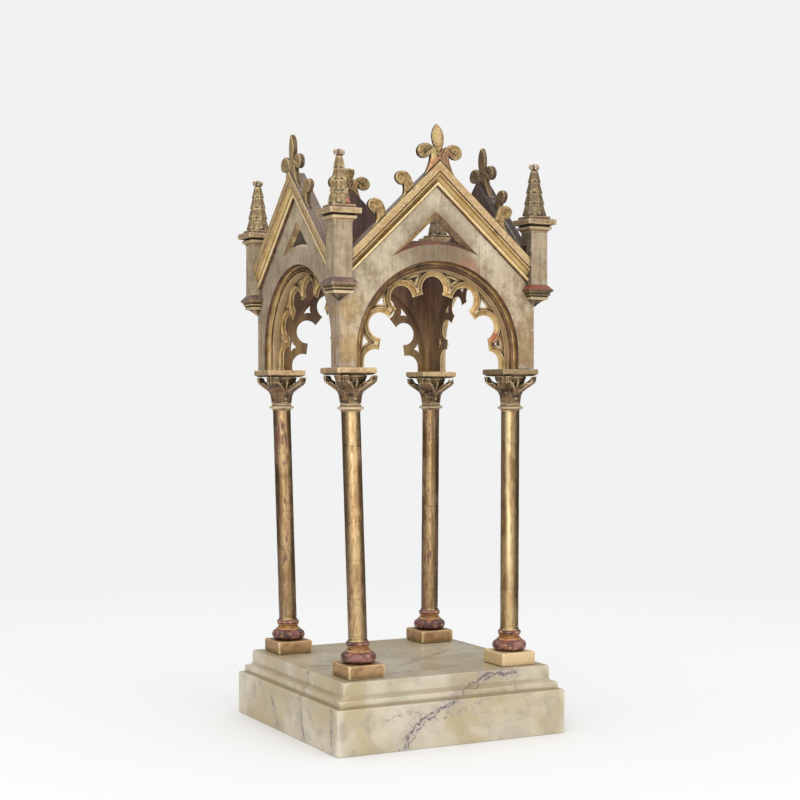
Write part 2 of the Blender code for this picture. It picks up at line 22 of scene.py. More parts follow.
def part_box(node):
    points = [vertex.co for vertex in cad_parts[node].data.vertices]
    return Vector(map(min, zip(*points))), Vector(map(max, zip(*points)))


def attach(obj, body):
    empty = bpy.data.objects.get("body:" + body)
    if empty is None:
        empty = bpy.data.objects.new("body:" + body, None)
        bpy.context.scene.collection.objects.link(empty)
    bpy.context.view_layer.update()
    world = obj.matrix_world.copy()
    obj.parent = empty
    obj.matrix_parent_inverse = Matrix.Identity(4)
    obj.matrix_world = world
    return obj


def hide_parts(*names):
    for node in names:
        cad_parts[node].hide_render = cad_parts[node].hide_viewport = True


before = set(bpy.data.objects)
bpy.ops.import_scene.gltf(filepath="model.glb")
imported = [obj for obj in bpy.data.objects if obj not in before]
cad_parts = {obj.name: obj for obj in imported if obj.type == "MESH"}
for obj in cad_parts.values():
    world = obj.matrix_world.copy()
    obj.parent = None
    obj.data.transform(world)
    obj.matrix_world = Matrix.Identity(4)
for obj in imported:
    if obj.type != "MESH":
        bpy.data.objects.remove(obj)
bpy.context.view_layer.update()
scene = bpy.context.scene
CORNERS = {"front_left": (-1, -1), "front_right": (1, -1), "back_right": (1, 1), "back_left": (-1, 1)}
QUARTERS = {"front": 0, "right": 1, "back": 2, "left": 3}

# %% [markdown]
# ## Writing node trees as sums
#
# A shader or a Geometry Nodes tree is a formula drawn as boxes. The small classes below let the formula
# be written down instead: a Number wraps a socket, and adding or multiplying Numbers adds the Math nodes.
# One method makes any other node from its type, its settings and its inputs.


# %% Numbers and trees
class Number:
    """A socket that can be used in an expression."""

    def __init__(self, tree, socket):
        self.tree = tree
        self.socket = socket

    def math(self, operation, *values):
        return self.tree.number("ShaderNodeMath", {"operation": operation}, dict(enumerate(values)))

    def __add__(self, other):
        return self.math("ADD", self, other)

    def __radd__(self, other):
        return self.math("ADD", other, self)

    def __sub__(self, other):
        return self.math("SUBTRACT", self, other)

    def __rsub__(self, other):
        return self.math("SUBTRACT", other, self)

    def __mul__(self, other):
        return self.math("MULTIPLY", self, other)

    def __rmul__(self, other):
        return self.math("MULTIPLY", other, self)

    def __truediv__(self, other):
        return self.math("DIVIDE", self, other)

    def __rtruediv__(self, other):
        return self.math("DIVIDE", other, self)

    def __pow__(self, other):
        return self.math("POWER", self, other)

    def __rpow__(self, other):
        return self.math("POWER", other, self)

    def __abs__(self):
        return self.math("ABSOLUTE", self)

    def alone(self, operation):
        """A Math node of one value, such as FLOOR or COSINE."""
        return self.math(operation, self)

    def over(self, other):
        """The larger of the two."""
        return self.math("MAXIMUM", self, other)

    def under(self, other):
        """The smaller of the two."""
        return self.math("MINIMUM", self, other)

    def rise(self, low, high):
        """0 below low, 1 above high and smooth between."""
        inputs = {"Value": self, "From Min": low, "From Max": high}
        return self.tree.number("ShaderNodeMapRange", {"interpolation_type": "SMOOTHSTEP"}, inputs)

    def fall(self, low, high):
        """1 below low, 0 above high and smooth between."""
        return 1.0 - self.rise(low, high)


class Tree:
    """Nodes, links and values of a shader tree or a Geometry Nodes tree."""

    def __init__(self, tree):
        self.tree = tree

    def node(self, kind, settings=None, inputs=None):
        made = self.tree.nodes.new(kind)
        for name, value in (settings or {}).items():
            setattr(made, name, value)
        for name, value in (inputs or {}).items():
            self.feed(made.inputs[name], value)
        return made

    def feed(self, socket, value):
        if isinstance(value, Number):
            value = value.socket
        if isinstance(value, bpy.types.NodeSocket):
            self.tree.links.new(value, socket)
        else:
            socket.default_value = value

    def number(self, kind, settings=None, inputs=None, output=0):
        return Number(self, self.node(kind, settings, inputs).outputs[output])

    def vector(self, operation, first, second, output=0):
        """The result of one Vector Math node."""
        inputs = {0: first, "Scale" if operation == "SCALE" else 1: second}
        return self.node("ShaderNodeVectorMath", {"operation": operation}, inputs).outputs[output]


print("a Number can also be made:", [name for name in vars(Number) if not name.startswith("_")])

# %% [markdown]
# ## A finish and its masks
#
# A finish starts from what it can know about a place on the piece: its coordinates, clouds of noise, and
# three masks that are kept on the mesh. One marks the rubbed edges, which also take a painted highlight,
# one the hollows, and one the places close to other wood that a duster can't reach; dirt and painted
# shade lie in these last two. The finish is then laid on in coats, as the real one was: each coat is
# a colour and a mask that says where it lies. Colours are written as a painter's sample card gives them.


# %% The finish builder
def paint(colour):
    """A card's red, green and blue, 0 to 255, made linear for the shader. A socket stays as it is."""
    if isinstance(colour, bpy.types.NodeSocket):
        return colour
    shares = [value / 255 for value in colour]
    return (*(v / 12.92 if v <= 0.04045 else ((v + 0.055) / 1.055) ** 2.4 for v in shares), 1.0)


class Finish(Tree):
    """A material under construction: object coordinates, noises, masks and coats of colour."""

    def __init__(self, name):
        self.material = bpy.data.materials.new(name)
        self.material.use_nodes = True
        super().__init__(self.material.node_tree)
        self.tree.nodes.clear()
        self.place = self.node("ShaderNodeTexCoord").outputs["Object"]
        axes = self.node("ShaderNodeSeparateXYZ", inputs={"Vector": self.place})
        self.x, self.y, self.z = (Number(self, socket) for socket in axes.outputs)
        # the first mask also places painted highlights; the other two place dirt and painted shade
        self.wear, self.grime, self.occlusion = (
            self.number("ShaderNodeAttribute", {"attribute_name": name}, output="Fac")
            for name in ("wear", "grime", "occlusion"))

    def drawn(self, z):
        """The object coordinates, scaled along z: below 1, patterns are drawn out upwards."""
        inputs = {"Vector": self.place, "Scale": (1.0, 1.0, z)}
        return self.node("ShaderNodeMapping", inputs=inputs).outputs["Vector"]

    def noise(self, scale, detail=4.0, roughness=0.6, place=None, distortion=0.0):
        """Cloudy noise about 0.5; the patches are about 1 / scale metres wide."""
        inputs = {"Vector": place or self.place, "Scale": scale, "Detail": detail}
        inputs.update({"Roughness": roughness, "Distortion": distortion})
        return self.number("ShaderNodeTexNoise", inputs=inputs, output="Fac")

    def blob(self, centre, radius, rough=None):
        """1 at a place on the piece, and 0 from a radius away."""
        away = Number(self, self.vector("DISTANCE", self.place, centre, "Value"))
        if rough is not None:
            away = away + (rough - 0.5) * radius
        return away.fall(radius * 0.35, radius)

    def mix(self, mask, under, over):
        """The colour over laid on the colour under, where the mask says."""
        inputs = {0: mask, 6: paint(under), 7: paint(over)}
        return self.node("ShaderNodeMix", {"data_type": "RGBA"}, inputs).outputs[2]

    def ground(self, mask, under, over):
        """Starts the coats from two colours and the mask between them."""
        self.colour = self.mix(mask, under, over)

    def coat(self, mask, colour):
        """Lays one more colour over what is there."""
        self.colour = self.mix(mask, self.colour, colour)

    def done(self, roughness, metallic, height, depth):
        """Feeds the surface: what varies over it, and a bump of the given depth in metres."""
        bump = self.node("ShaderNodeBump", inputs={"Height": height, "Distance": depth, "Strength": 1.0})
        inputs = {"Base Color": self.colour, "Roughness": roughness, "Metallic": metallic}
        inputs["Normal"] = bump.outputs["Normal"]
        surface = self.node("ShaderNodeBsdfPrincipled", inputs=inputs)
        self.node("ShaderNodeOutputMaterial", inputs={"Surface": surface.outputs["BSDF"]})
        return self.material


print("a mid grey on the card:", [round(v, 3) for v in paint((128, 128, 128))])

# %% [markdown]
# ## The stage
#
# Old gilding is hard to light. Its burnished parts act as mirrors, so in an even white room gold turns flat
# and yellow. It needs something dark to reflect and a few bright, soft things. So this studio is dim
# behind the piece and bright in front and overhead, with a tall soft lamp close to the camera, which draws
# a highlight down each column, a larger lamp in front and a weak one on the left. The camera itself
# sees a plain pale backdrop, and the floor fades into it, so no horizon shows. The view is
# level, at a little over half the height of the piece, through a long lens.

# %% Camera and lamps
CAMERA_PLACE = (-1.5373, -3.0004, 0.6832)
CAMERA_TURN = math.radians(-27.26)
CAMERA_LENS = 71.46
MIDDLE = (0.0, 0.0, 0.6)

camera_data = bpy.data.cameras.new("studio_camera")
camera_data.lens = CAMERA_LENS
camera_data.sensor_width = 36.0
camera = bpy.data.objects.new("studio_camera", camera_data)
camera.location = CAMERA_PLACE
camera.rotation_euler = (math.pi / 2, 0.0, CAMERA_TURN)
scene.collection.objects.link(camera)
scene.camera = camera
scene.view_settings.view_transform = "Standard"


def lamp(name, place, width, height, power, colour):
    """A soft rectangular lamp that looks at the middle of the piece."""
    data = bpy.data.lights.new(name, "AREA")
    data.shape = "RECTANGLE"
    data.size = width
    data.size_y = height
    data.energy = power
    data.color = colour
    made = bpy.data.objects.new(name, data)
    made.location = place
    made.rotation_euler = (Vector(MIDDLE) - Vector(place)).to_track_quat("-Z", "Y").to_euler()
    scene.collection.objects.link(made)


lamp("front_lamp", (-2.0, -3.1, 1.3), 0.55, 1.8, 11.0, (1.0, 0.98, 0.95))
lamp("key_lamp", (0.5, -3.1, 2.2), 1.8, 2.0, 10.0, (1.0, 0.97, 0.93))
lamp("fill_lamp", (-3.0, -0.4, 1.4), 1.2, 2.0, 5.0, (0.92, 0.95, 1.0))

# %% The room and the floor
FRONT = Vector((-0.25, -0.93, 0.26)).normalized()
BACKDROP = 0.886
BEHIND_LEVEL = 0.12
FRONT_LEVEL = 1.05
OVERHEAD_LEVEL = 1.35
FLOOR_HALF = 5.0

world = bpy.data.worlds.new("pale_studio")
scene.world = world
world.use_nodes = True
world.node_tree.nodes.clear()
room = Tree(world.node_tree)
outward = room.node("ShaderNodeTexCoord").outputs["Generated"]
axes = room.node("ShaderNodeSeparateXYZ", inputs={"Vector": outward})
forward = Number(room, room.vector("DOT_PRODUCT", outward, FRONT, "Value"))
level = forward.rise(0.25, 0.85) * (FRONT_LEVEL - BEHIND_LEVEL) + BEHIND_LEVEL
overhead = Number(room, axes.outputs["Z"]).rise(0.0, 1.0)
level = level * (1.0 - overhead) + overhead * OVERHEAD_LEVEL
seen = room.number("ShaderNodeLightPath", output="Is Camera Ray")
level = seen * BACKDROP + (1.0 - seen) * level
glow = room.node("ShaderNodeBackground", inputs={"Color": (1.0, 1.0, 1.0, 1.0), "Strength": level})
room.node("ShaderNodeOutputWorld", inputs={"Surface": glow.outputs[0]})

floor_mesh = bpy.data.meshes.new("studio_floor")
floor_corners = [(x * FLOOR_HALF, y * FLOOR_HALF, 0.0) for x, y in ((-1, -1), (1, -1), (1, 1), (-1, 1))]
floor_mesh.from_pydata(floor_corners, [], [(0, 1, 2, 3)])
floor = bpy.data.objects.new("studio_floor", floor_mesh)
scene.collection.objects.link(floor)
paper = Finish("pale_floor")
far = (paper.x * paper.x + paper.y * paper.y) ** 0.5
sheet = paper.node("ShaderNodeBsdfPrincipled", inputs={"Roughness": 0.9, "Alpha": far.fall(1.0, 3.0)})
sheet.inputs["Base Color"].default_value = (0.87, 0.87, 0.87, 1.0)
paper.node("ShaderNodeOutputMaterial", inputs={"Surface": sheet.outputs["BSDF"]})
floor_mesh.materials.append(paper.material)
print("floor:", [round(v, 1) for v in floor.dimensions])

# %% [markdown]
# ## Worn gilding
#
# Gold leaf is only a fraction of a micron thick. It is laid over red bole, the bole over white gesso, and
# the gesso over wood. Where hands and dusters reach, the gold goes first and the bole shows as a warm red.
# A knock takes the gesso off an edge as a white chip, and dirt gathers in the hollows.
#
# So the material is built in that order. Noise says where each layer has gone, and the masks on the mesh
# push the damage to where it happens on real carving. The same masks lay painted light: a highlight on the
# ridges, and olive and dark painted shade in the hollows and where other wood is close. One function makes
# every gilded finish, and each kind of piece sets its own amounts, with glazes of its own for single patches.

# %% Gold over bole over gesso
# the pale gold of a painted highlight
GOLD_HIGHLIGHT = (252, 230, 178)
GOLD_LIGHT = (222, 190, 132)
GOLD_DEEP = (168, 134, 84)
GOLD_BROWN = (104, 80, 52)
# the olive of gold in painted shade
GOLD_OLIVE_SHADE = (116, 92, 50)
BOLE_RED = (158, 88, 66)
BOLE_PLUM = (80, 50, 50)
GESSO = (224, 210, 196)
# the colour of dirt, and of painted shade
DIRT_AND_SHADE = (40, 31, 26)
# the colour of soot, and of painted shade
SOOT_AND_SHADE = (62, 46, 34)
LEAF_HEIGHT = 0.075


def gilding(name, bole=0.5, chips=0.3, dirt_and_shade=0.6, shine=0.75, light=GOLD_LIGHT, deep=GOLD_DEEP, laps=0.0,
            patina=0.6, olive=0.8, fine=1.0, run=1.0, zones=None, glazes=None):
    """Gold over bole over gesso, with painted light. Each amount is from 0, none, to 1, nearly everywhere."""
    skin = Finish(name)
    drawn = skin.drawn(run)
    clouds = skin.noise(30.0 * fine, 3.0, place=drawn)
    patches = skin.noise(90.0 * fine, 5.0, 0.68, drawn)
    grain = skin.noise(360.0)
    more_bole, more_dirt_and_shade, more_chips = zones(skin) if zones else (0.0, 0.0, 0.0)
    skin.ground((clouds * 0.5 + patches * 0.5).rise(0.42, 0.58), deep, light)
    old = (patches * 0.6 + clouds * 0.4 + skin.occlusion * 0.16 - skin.wear * 0.12).rise(0.49, 0.60)
    skin.coat(old * patina, GOLD_BROWN)
    # painted shade: the gold turns olive where other wood is close
    skin.coat(skin.occlusion.rise(0.08, 0.42) * olive, GOLD_OLIVE_SHADE)
    # painted highlight on the ridges, where the gold is also most rubbed and burnished
    skin.coat(skin.wear.rise(0.12, 0.6) * 0.6, GOLD_HIGHLIGHT)
    if laps:
        leaf = (skin.z * (1.0 / LEAF_HEIGHT) + clouds * 0.2).alone("FRACT")
        skin.coat(leaf.fall(0.0, 0.05) * laps, GOLD_BROWN)
    rubbed = patches * 0.6 + clouds * 0.4 + skin.wear * 0.10 + more_bole
    red = rubbed.rise(0.70 - 0.20 * bole, 0.80 - 0.20 * bole)
    skin.coat(red * 0.85, skin.mix(grain.rise(0.35, 0.65), BOLE_PLUM, BOLE_RED))
    chipped = grain * 0.45 + patches * 0.55 + skin.wear * 0.34 + more_chips
    chipped = chipped.rise(0.98 - 0.3 * chips, 1.02 - 0.3 * chips)
    skin.coat(chipped, GESSO)
    for cover, tint in glazes(skin) if glazes else ():
        skin.coat(cover, tint)
    # dirt and painted shade: darker in the hollows and where other wood is close
    occluded_dirt_and_shade = (skin.occlusion - 0.22).over(0.0) * 1.7
    soil_and_shade = occluded_dirt_and_shade + skin.grime * 1.0 + patches * 0.45 + grain * 0.2 - 0.30 + more_dirt_and_shade
    soil_and_shade = soil_and_shade.rise(0.50 - 0.40 * dirt_and_shade, 0.95 - 0.30 * dirt_and_shade)
    skin.coat(soil_and_shade * 0.9, DIRT_AND_SHADE)
    bare = (1.0 - red) * (1.0 - chipped) * (1.0 - soil_and_shade)
    smooth = bare + red * (1.0 - chipped) * (1.0 - soil_and_shade) * 0.7
    roughness = 0.72 - smooth * (0.10 + 0.38 * shine)
    return skin.done(roughness, bare * shine, grain * 0.5 + patches * 0.5 - chipped * 0.6, 0.0007)


foot_gilding = gilding("foot_gilding", bole=0.6, shine=0.7, dirt_and_shade=0.5, light=(206, 156, 96),
                       deep=(160, 108, 64))
print("layers in one gilding:", len([n for n in foot_gilding.node_tree.nodes if n.type == "MIX"]))

# %% [markdown]
# ## Shafts and blocks
#
# The shafts were burnished with an agate, so they shine most. The leaf laps show as faint rings, because a
# sheet of leaf is only some 75 mm wide. Painted shade darkens each shaft on its right as seen from the
# camera, and plum painted shade lies along its left edge, while a painted highlight runs down the front right
# one. All are darker low down, and the back ones more. The noise is drawn out upwards on all of them.


# %% Gild the shafts and the blocks
def shaft_zones(skin):
    """The front left column has a bright patch near its foot, and the bole shows through above it."""
    gold = skin.blob((-0.1830, -0.1930, 0.245), 0.046)
    rosy = skin.blob((-0.1700, -0.1935, 0.325), 0.050) + skin.blob((-0.1670, -0.1930, 0.585), 0.036)
    return rosy * 0.11 - gold * 0.10 + skin.y.rise(0.0, 0.1) * 0.09, gold * -0.06, 0.0


FOOT_SPREAD = 0.1738
# how far across each column, as seen from the camera, the painted shade reaches
SHADE_REACH = 0.0188
SHADE_SIDE = (0.889, 0.458)


def shaft_glaze(skin):
    """Painted shade on each column's right and plum at its left, a painted highlight on one; darker low and at
    the back.
    """
    axis_x = skin.x.rise(0.0, 0.001) * (FOOT_SPREAD * 2) - FOOT_SPREAD
    axis_y = skin.y.rise(0.0, 0.001) * (FOOT_SPREAD * 2) - FOOT_SPREAD
    lean = (skin.z - 0.2) * -0.016
    away = ((skin.x - axis_x - lean) * SHADE_SIDE[0] - (skin.y - axis_y) * SHADE_SIDE[1]) * (1.0 / SHADE_REACH)
    streak = skin.noise(120.0, 4.0, 0.7, skin.drawn(0.08)) - 0.5
    # painted shade on each column's right as seen from the camera
    side_shade = (away + streak * 1.1).rise(0.15, 0.75)
    # painted plum shade along each column's left edge
    plum = (streak * 0.8 - away).rise(0.55, 0.95)
    # darker low down and on the back columns
    dull = skin.z.fall(0.22, 0.50) * 0.24 + skin.y.rise(0.0, 0.1) * 0.16
    # a painted highlight down the front right column
    right = skin.x.rise(0.0, 0.001) * skin.y.fall(-0.05, 0.05)
    bright = right * abs(away - 0.02 + streak * 0.8).fall(0.05, 0.36)
    return [(dull, SOOT_AND_SHADE), (bright * skin.z.rise(0.26, 0.42) * 0.85, (255, 232, 180)),
            (side_shade * 0.55, (72, 50, 38)), (plum * 0.5, (92, 62, 58))]


def block_zone(skin):
    """The gesso has flaked along the blocks' lower edges, on the side that is dusted."""
    return 0.0, 0.0, skin.z.fall(0.1388, 0.1402) * skin.y.fall(-0.2125, -0.2110) * 0.55


def block_glaze(skin):
    """The front right block has kept the yellowest gold."""
    return [(skin.x.rise(0.0, 0.1) * skin.y.fall(-0.1, 0.0) * 0.75, (238, 212, 164))]


def abacus_glaze(skin):
    """The front right abacus is dull with soot."""
    return [(skin.x.rise(0.05, 0.16) * 0.5 * skin.y.fall(-0.1, 0.0), SOOT_AND_SHADE)]


shaft_gilding = gilding("shaft_gilding", chips=0.25, dirt_and_shade=0.4, shine=0.95, laps=0.35, patina=0.5, run=0.25,
                        light=(246, 211, 156), deep=(180, 142, 99), zones=shaft_zones, glazes=shaft_glaze)
block_gilding = gilding("block_gilding", bole=0.25, chips=0.6, dirt_and_shade=0.35, shine=0.35, patina=0.3,
                        light=(196, 158, 112), deep=(152, 116, 80), zones=block_zone, glazes=block_glaze)
abacus_gilding = gilding("abacus_gilding", chips=0.42, dirt_and_shade=0.55, shine=0.5, patina=0.7,
                         light=(240, 206, 156), deep=(180, 150, 112), glazes=abacus_glaze)
print("nodes in the shafts' gilding:", len(shaft_gilding.node_tree.nodes))

# %% [markdown]
# ## Mouldings and tracery
#
# A moulding is gilded in two ways. Its hollows and beads are water-gilded and polished, and its flat bands
# are left matt, so that the light runs along the polished lines only; the rakes' beads are also given a paler
# gold as a painted highlight. The tracery is matt on its flats and bright in the hollows of its foils. Where
# a cusp has broken off, the bare red clay shows.


# %% Gild the mouldings and the tracery
def cusp_glaze(skin):
    """The broken cusp shows bare red clay."""
    return [(skin.blob((0.1335, -0.1840, 0.8130), 0.019, skin.noise(150.0)) * 0.8, (158, 78, 58))]


def band_glaze(skin):
    """Orange clay shows in flecks along the rakes."""
    return [(skin.noise(150.0, 5.0, 0.7).rise(0.55, 0.66) * 0.6, (188, 116, 82))]


arch_gilding = gilding("arch_gilding", bole=0.2, chips=0.1, dirt_and_shade=0.35, shine=0.8, patina=0.25, olive=0.15)
cove_gilding = gilding("cove_gilding", bole=0.2, chips=0.1, dirt_and_shade=0.4, shine=0.8, patina=0.3, olive=0.6,
                       light=(246, 216, 152), deep=(202, 170, 112))
# painted highlight: the bead's gold is given paler
bead_highlight_gilding = gilding("bead_highlight_gilding", bole=0.15, chips=0.1, dirt_and_shade=0.2, shine=0.8, patina=0.15, olive=0.1,
                       light=(254, 234, 184), deep=(236, 206, 146))
band_gilding = gilding("band_gilding", bole=0.55, chips=0.75, dirt_and_shade=0.7, shine=0.35, patina=0.65, fine=1.7,
                       light=(228, 200, 150), deep=(188, 154, 106), glazes=band_glaze)
tracery_gilding = gilding("tracery_gilding", bole=0.25, chips=0.1, shine=0.4,
                          light=(180, 150, 106), deep=(128, 102, 70), glazes=cusp_glaze)
ring_gilding = gilding("ring_gilding", bole=0.35, chips=0.2, dirt_and_shade=0.05, shine=0.2, patina=0.35, olive=0.4,
                       light=(218, 190, 150), deep=(184, 156, 114))
hollow_gilding = gilding("hollow_gilding", bole=0.12, chips=0.06, dirt_and_shade=0.5, shine=0.8, patina=0.35,
                         olive=0.5, glazes=cusp_glaze)
print("moulding finishes:", cove_gilding.name, bead_highlight_gilding.name, band_gilding.name)

# %% [markdown]
# ## Carvings and pinnacles
#
# Carving wears and soils most, because it has the most edges and hollows, and it takes the most painted
# highlight and painted shade. Its noise is finer, since leaf on small forms breaks in small pieces. The
# right and back of the canopy have darkened more than the front, and the front finial, which is handled
# most, shows salmon and rose clay at its foot and a painted highlight on its left petal.


# %% Gild the carvings and the pinnacles
def trim_glaze(skin):
    """The corbels are darkened with soot, and so is everything on the right."""
    low = skin.z.fall(0.93, 0.95) * skin.z.rise(0.893, 0.898)
    right = skin.x.rise(0.05, 0.16)
    return [(low * (right * 0.15 + 0.44) + right * 0.24, SOOT_AND_SHADE)]


def spire_glaze(skin):
    """Grey dust over the gold, thickest on the right-hand spires, and red clay at one spire's foot."""
    dusty = skin.noise(120.0, 5.0, 0.7)
    right = skin.x.rise(0.05, 0.16)
    red = skin.blob((-0.2180, -0.2250, 1.0640), 0.016, dusty)
    return [((dusty + right * 0.08).rise(0.46, 0.60) * 0.6, (118, 104, 88)), (right * 0.24, SOOT_AND_SHADE),
            (red * 0.8, (186, 104, 90))]


CARVING_FACE = -0.2195


def carving_glaze(skin):
    """The front finial's foot shows salmon and rose clay, and a painted highlight lies on its left petal; the
    right and back carvings are darkened with soot.
    """
    flaked = skin.noise(150.0, 5.0, 0.7)
    salmon = skin.blob((-0.0330, CARVING_FACE, 1.1520), 0.026, flaked) * flaked.rise(0.35, 0.55)
    rosy = skin.blob((-0.0040, CARVING_FACE, 1.1680), 0.030, flaked) * flaked.rise(0.35, 0.60)
    # a painted highlight on the left petal
    cream = skin.blob((-0.0370, CARVING_FACE, 1.1730), 0.016, flaked)
    comma = skin.blob((-0.0460, CARVING_FACE, 1.1770), 0.020, flaked)
    leaf = skin.blob((-0.0110, CARVING_FACE, 1.2100), 0.030, flaked)
    return [(salmon * 0.85, (214, 150, 110)), (rosy * 0.75, (146, 92, 78)), (cream * 0.8, (240, 220, 156)),
            (skin.x.rise(0.15, 0.19) * 0.5, (116, 100, 88)), (comma * 0.6, (104, 82, 60)),
            (leaf * 0.35, (240, 212, 158)), (skin.x.fall(-0.225, -0.215) * 0.65, (206, 178, 128)),
            (skin.y.rise(0.10, 0.18) * 0.25, SOOT_AND_SHADE)]


carved_gilding = gilding("carved_gilding", chips=0.25, dirt_and_shade=0.9, shine=0.6, patina=0.9, fine=2.2,
                         light=(214, 182, 124), deep=(128, 102, 66), glazes=carving_glaze)
# dark gilding for sawn sides and undersides, and as painted shade in the grooves of mouldings
sawn_and_shaded_gilding = gilding("sawn_and_shaded_gilding", bole=0.3, chips=0.2, dirt_and_shade=0.9, shine=0.3, patina=0.8,
                       light=(132, 106, 72), deep=(78, 60, 44))
capital_gilding = gilding("capital_gilding", bole=0.38, chips=0.7, dirt_and_shade=0.9, shine=0.45, patina=0.85,
                          fine=2.3, light=(160, 126, 90), deep=(56, 42, 36))
spire_gilding = gilding("spire_gilding", bole=0.4, chips=0.2, dirt_and_shade=1.05, shine=0.5, patina=0.9, fine=2.0,
                        light=(190, 158, 106), deep=(122, 95, 62), glazes=spire_glaze)
trim_gilding = gilding("trim_gilding", bole=0.45, chips=0.5, dirt_and_shade=0.85, shine=0.4, patina=0.8, fine=1.6,
                       light=(218, 188, 146), deep=(160, 130, 96), glazes=trim_glaze)
bud_gesso = gilding("bud_gesso", chips=1.3, dirt_and_shade=1.0, shine=0.2, fine=1.6,
                    light=(190, 160, 132), deep=(140, 112, 92))
print("gilded finishes:", len([m for m in bpy.data.materials if "gilding" in m.name]))

# %% [markdown]
# ## Bare clay
#
# Where gold and gesso have gone altogether, the clay under them is the finish. On the columns' feet hands
# have polished it, so it is smooth and deep in colour, and its edges carry painted pinkish-grey highlights.
# On the shelves of caps and corbels it lies dull under dust, redder on the right of the canopy than on the
# left.


# %% Clay finishes
def dusty_clay():
    skin = Finish("dusty_clay")
    patches = skin.noise(70.0, 5.0, 0.68)
    grain = skin.noise(320.0)
    side = skin.x.rise(-0.05, 0.10)
    skin.ground(side, (104, 82, 78), skin.mix(skin.z.rise(0.95, 1.0), (142, 74, 50), (108, 74, 54)))
    skin.coat(patches.rise(0.5, 0.62) * 0.6, skin.mix(side, (150, 104, 92), (96, 62, 44)))
    skin.coat((grain * 0.6 + patches * 0.4).rise(0.56, 0.62) * 0.6, (196, 172, 146))
    return skin.done(0.6, 0.0, grain, 0.0005)


def burnished_bole():
    skin = Finish("burnished_bole")
    clouds = skin.noise(26.0)
    patches = skin.noise(110.0, 5.0, 0.7)
    grain = skin.noise(340.0)
    skin.ground((clouds * 0.5 + patches * 0.5).rise(0.44, 0.56), (78, 50, 50), (144, 82, 68))
    skin.coat((patches + skin.wear * 0.1).rise(0.58, 0.68) * 0.7, (190, 140, 88))
    skin.coat((grain * 0.5 + patches * 0.5 + skin.wear * 0.12).rise(0.64, 0.68) * 0.8, GESSO)
    # painted highlight: pinkish-grey glints on the rubbed edges
    skin.coat(clouds.rise(0.48, 0.62) * skin.wear.rise(0.1, 0.5) * 0.35, (160, 134, 130))
    # dirt and painted shade in the hollows and where other wood is close
    skin.coat((skin.occlusion.rise(0.25, 0.7) + skin.grime * 0.5).under(1.0) * 0.85, DIRT_AND_SHADE)
    return skin.done(0.26 + patches * 0.2, 0.0, grain * 0.4 + patches * 0.8, 0.0010)


clay_top = dusty_clay()
foot_bole = burnished_bole()
print("clay finishes:", clay_top.name, foot_bole.name)

# %% [markdown]
# ## Painted boards
#
# The flat faces between the mouldings carry a pale paint that has weathered to cream, grey and ochre, with
# brown runs where water stood. It is darkest over the arch, where candles smoked it, and palest up in the
# gable, where painted light lies, with a painted highlight beside the right rake. Painted shade darkens the
# left faces and the right posts, and dirt and painted shade gather in the hollows. The joints of the boards
# show as hairlines. The same paint, a little drier, is on the corner posts.

# %% Painted faces
FACE = -0.2085
FIELD_CREAM = (206, 188, 157)
FIELD_GREY = (164, 147, 119)
FIELD_OCHRE = (172, 136, 88)
FIELD_BROWN = (132, 106, 76)
JOINTS = [((-0.0133, 0.9650), (-0.0125, 0.9850)), ((0.0073, 0.9650), (0.0080, 0.9850)),
          ((0.0826, 0.9500), (0.0826, 0.9850)), ((-0.2320, 0.8752), (-0.2030, 0.8955)),
          ((-0.0050, 1.0850), (-0.0047, 1.1000))]


def joint_line(skin, start, end, grain):
    """A hairline on the front face between two (x, z) places."""
    start = Vector((start[0], FACE, start[1]))
    along = Vector((end[0], FACE, end[1])) - start
    level = Vector((-along.z, 0.0, along.x)).normalized()
    off = Number(skin, skin.vector("DOT_PRODUCT", skin.place, level, "Value"))
    line = abs(off - level.dot(start) + (grain - 0.5) * 0.002).fall(0.0, 0.0012)
    return line * skin.blob(start + along / 2, along.length * 1.1).rise(0.0, 0.3)


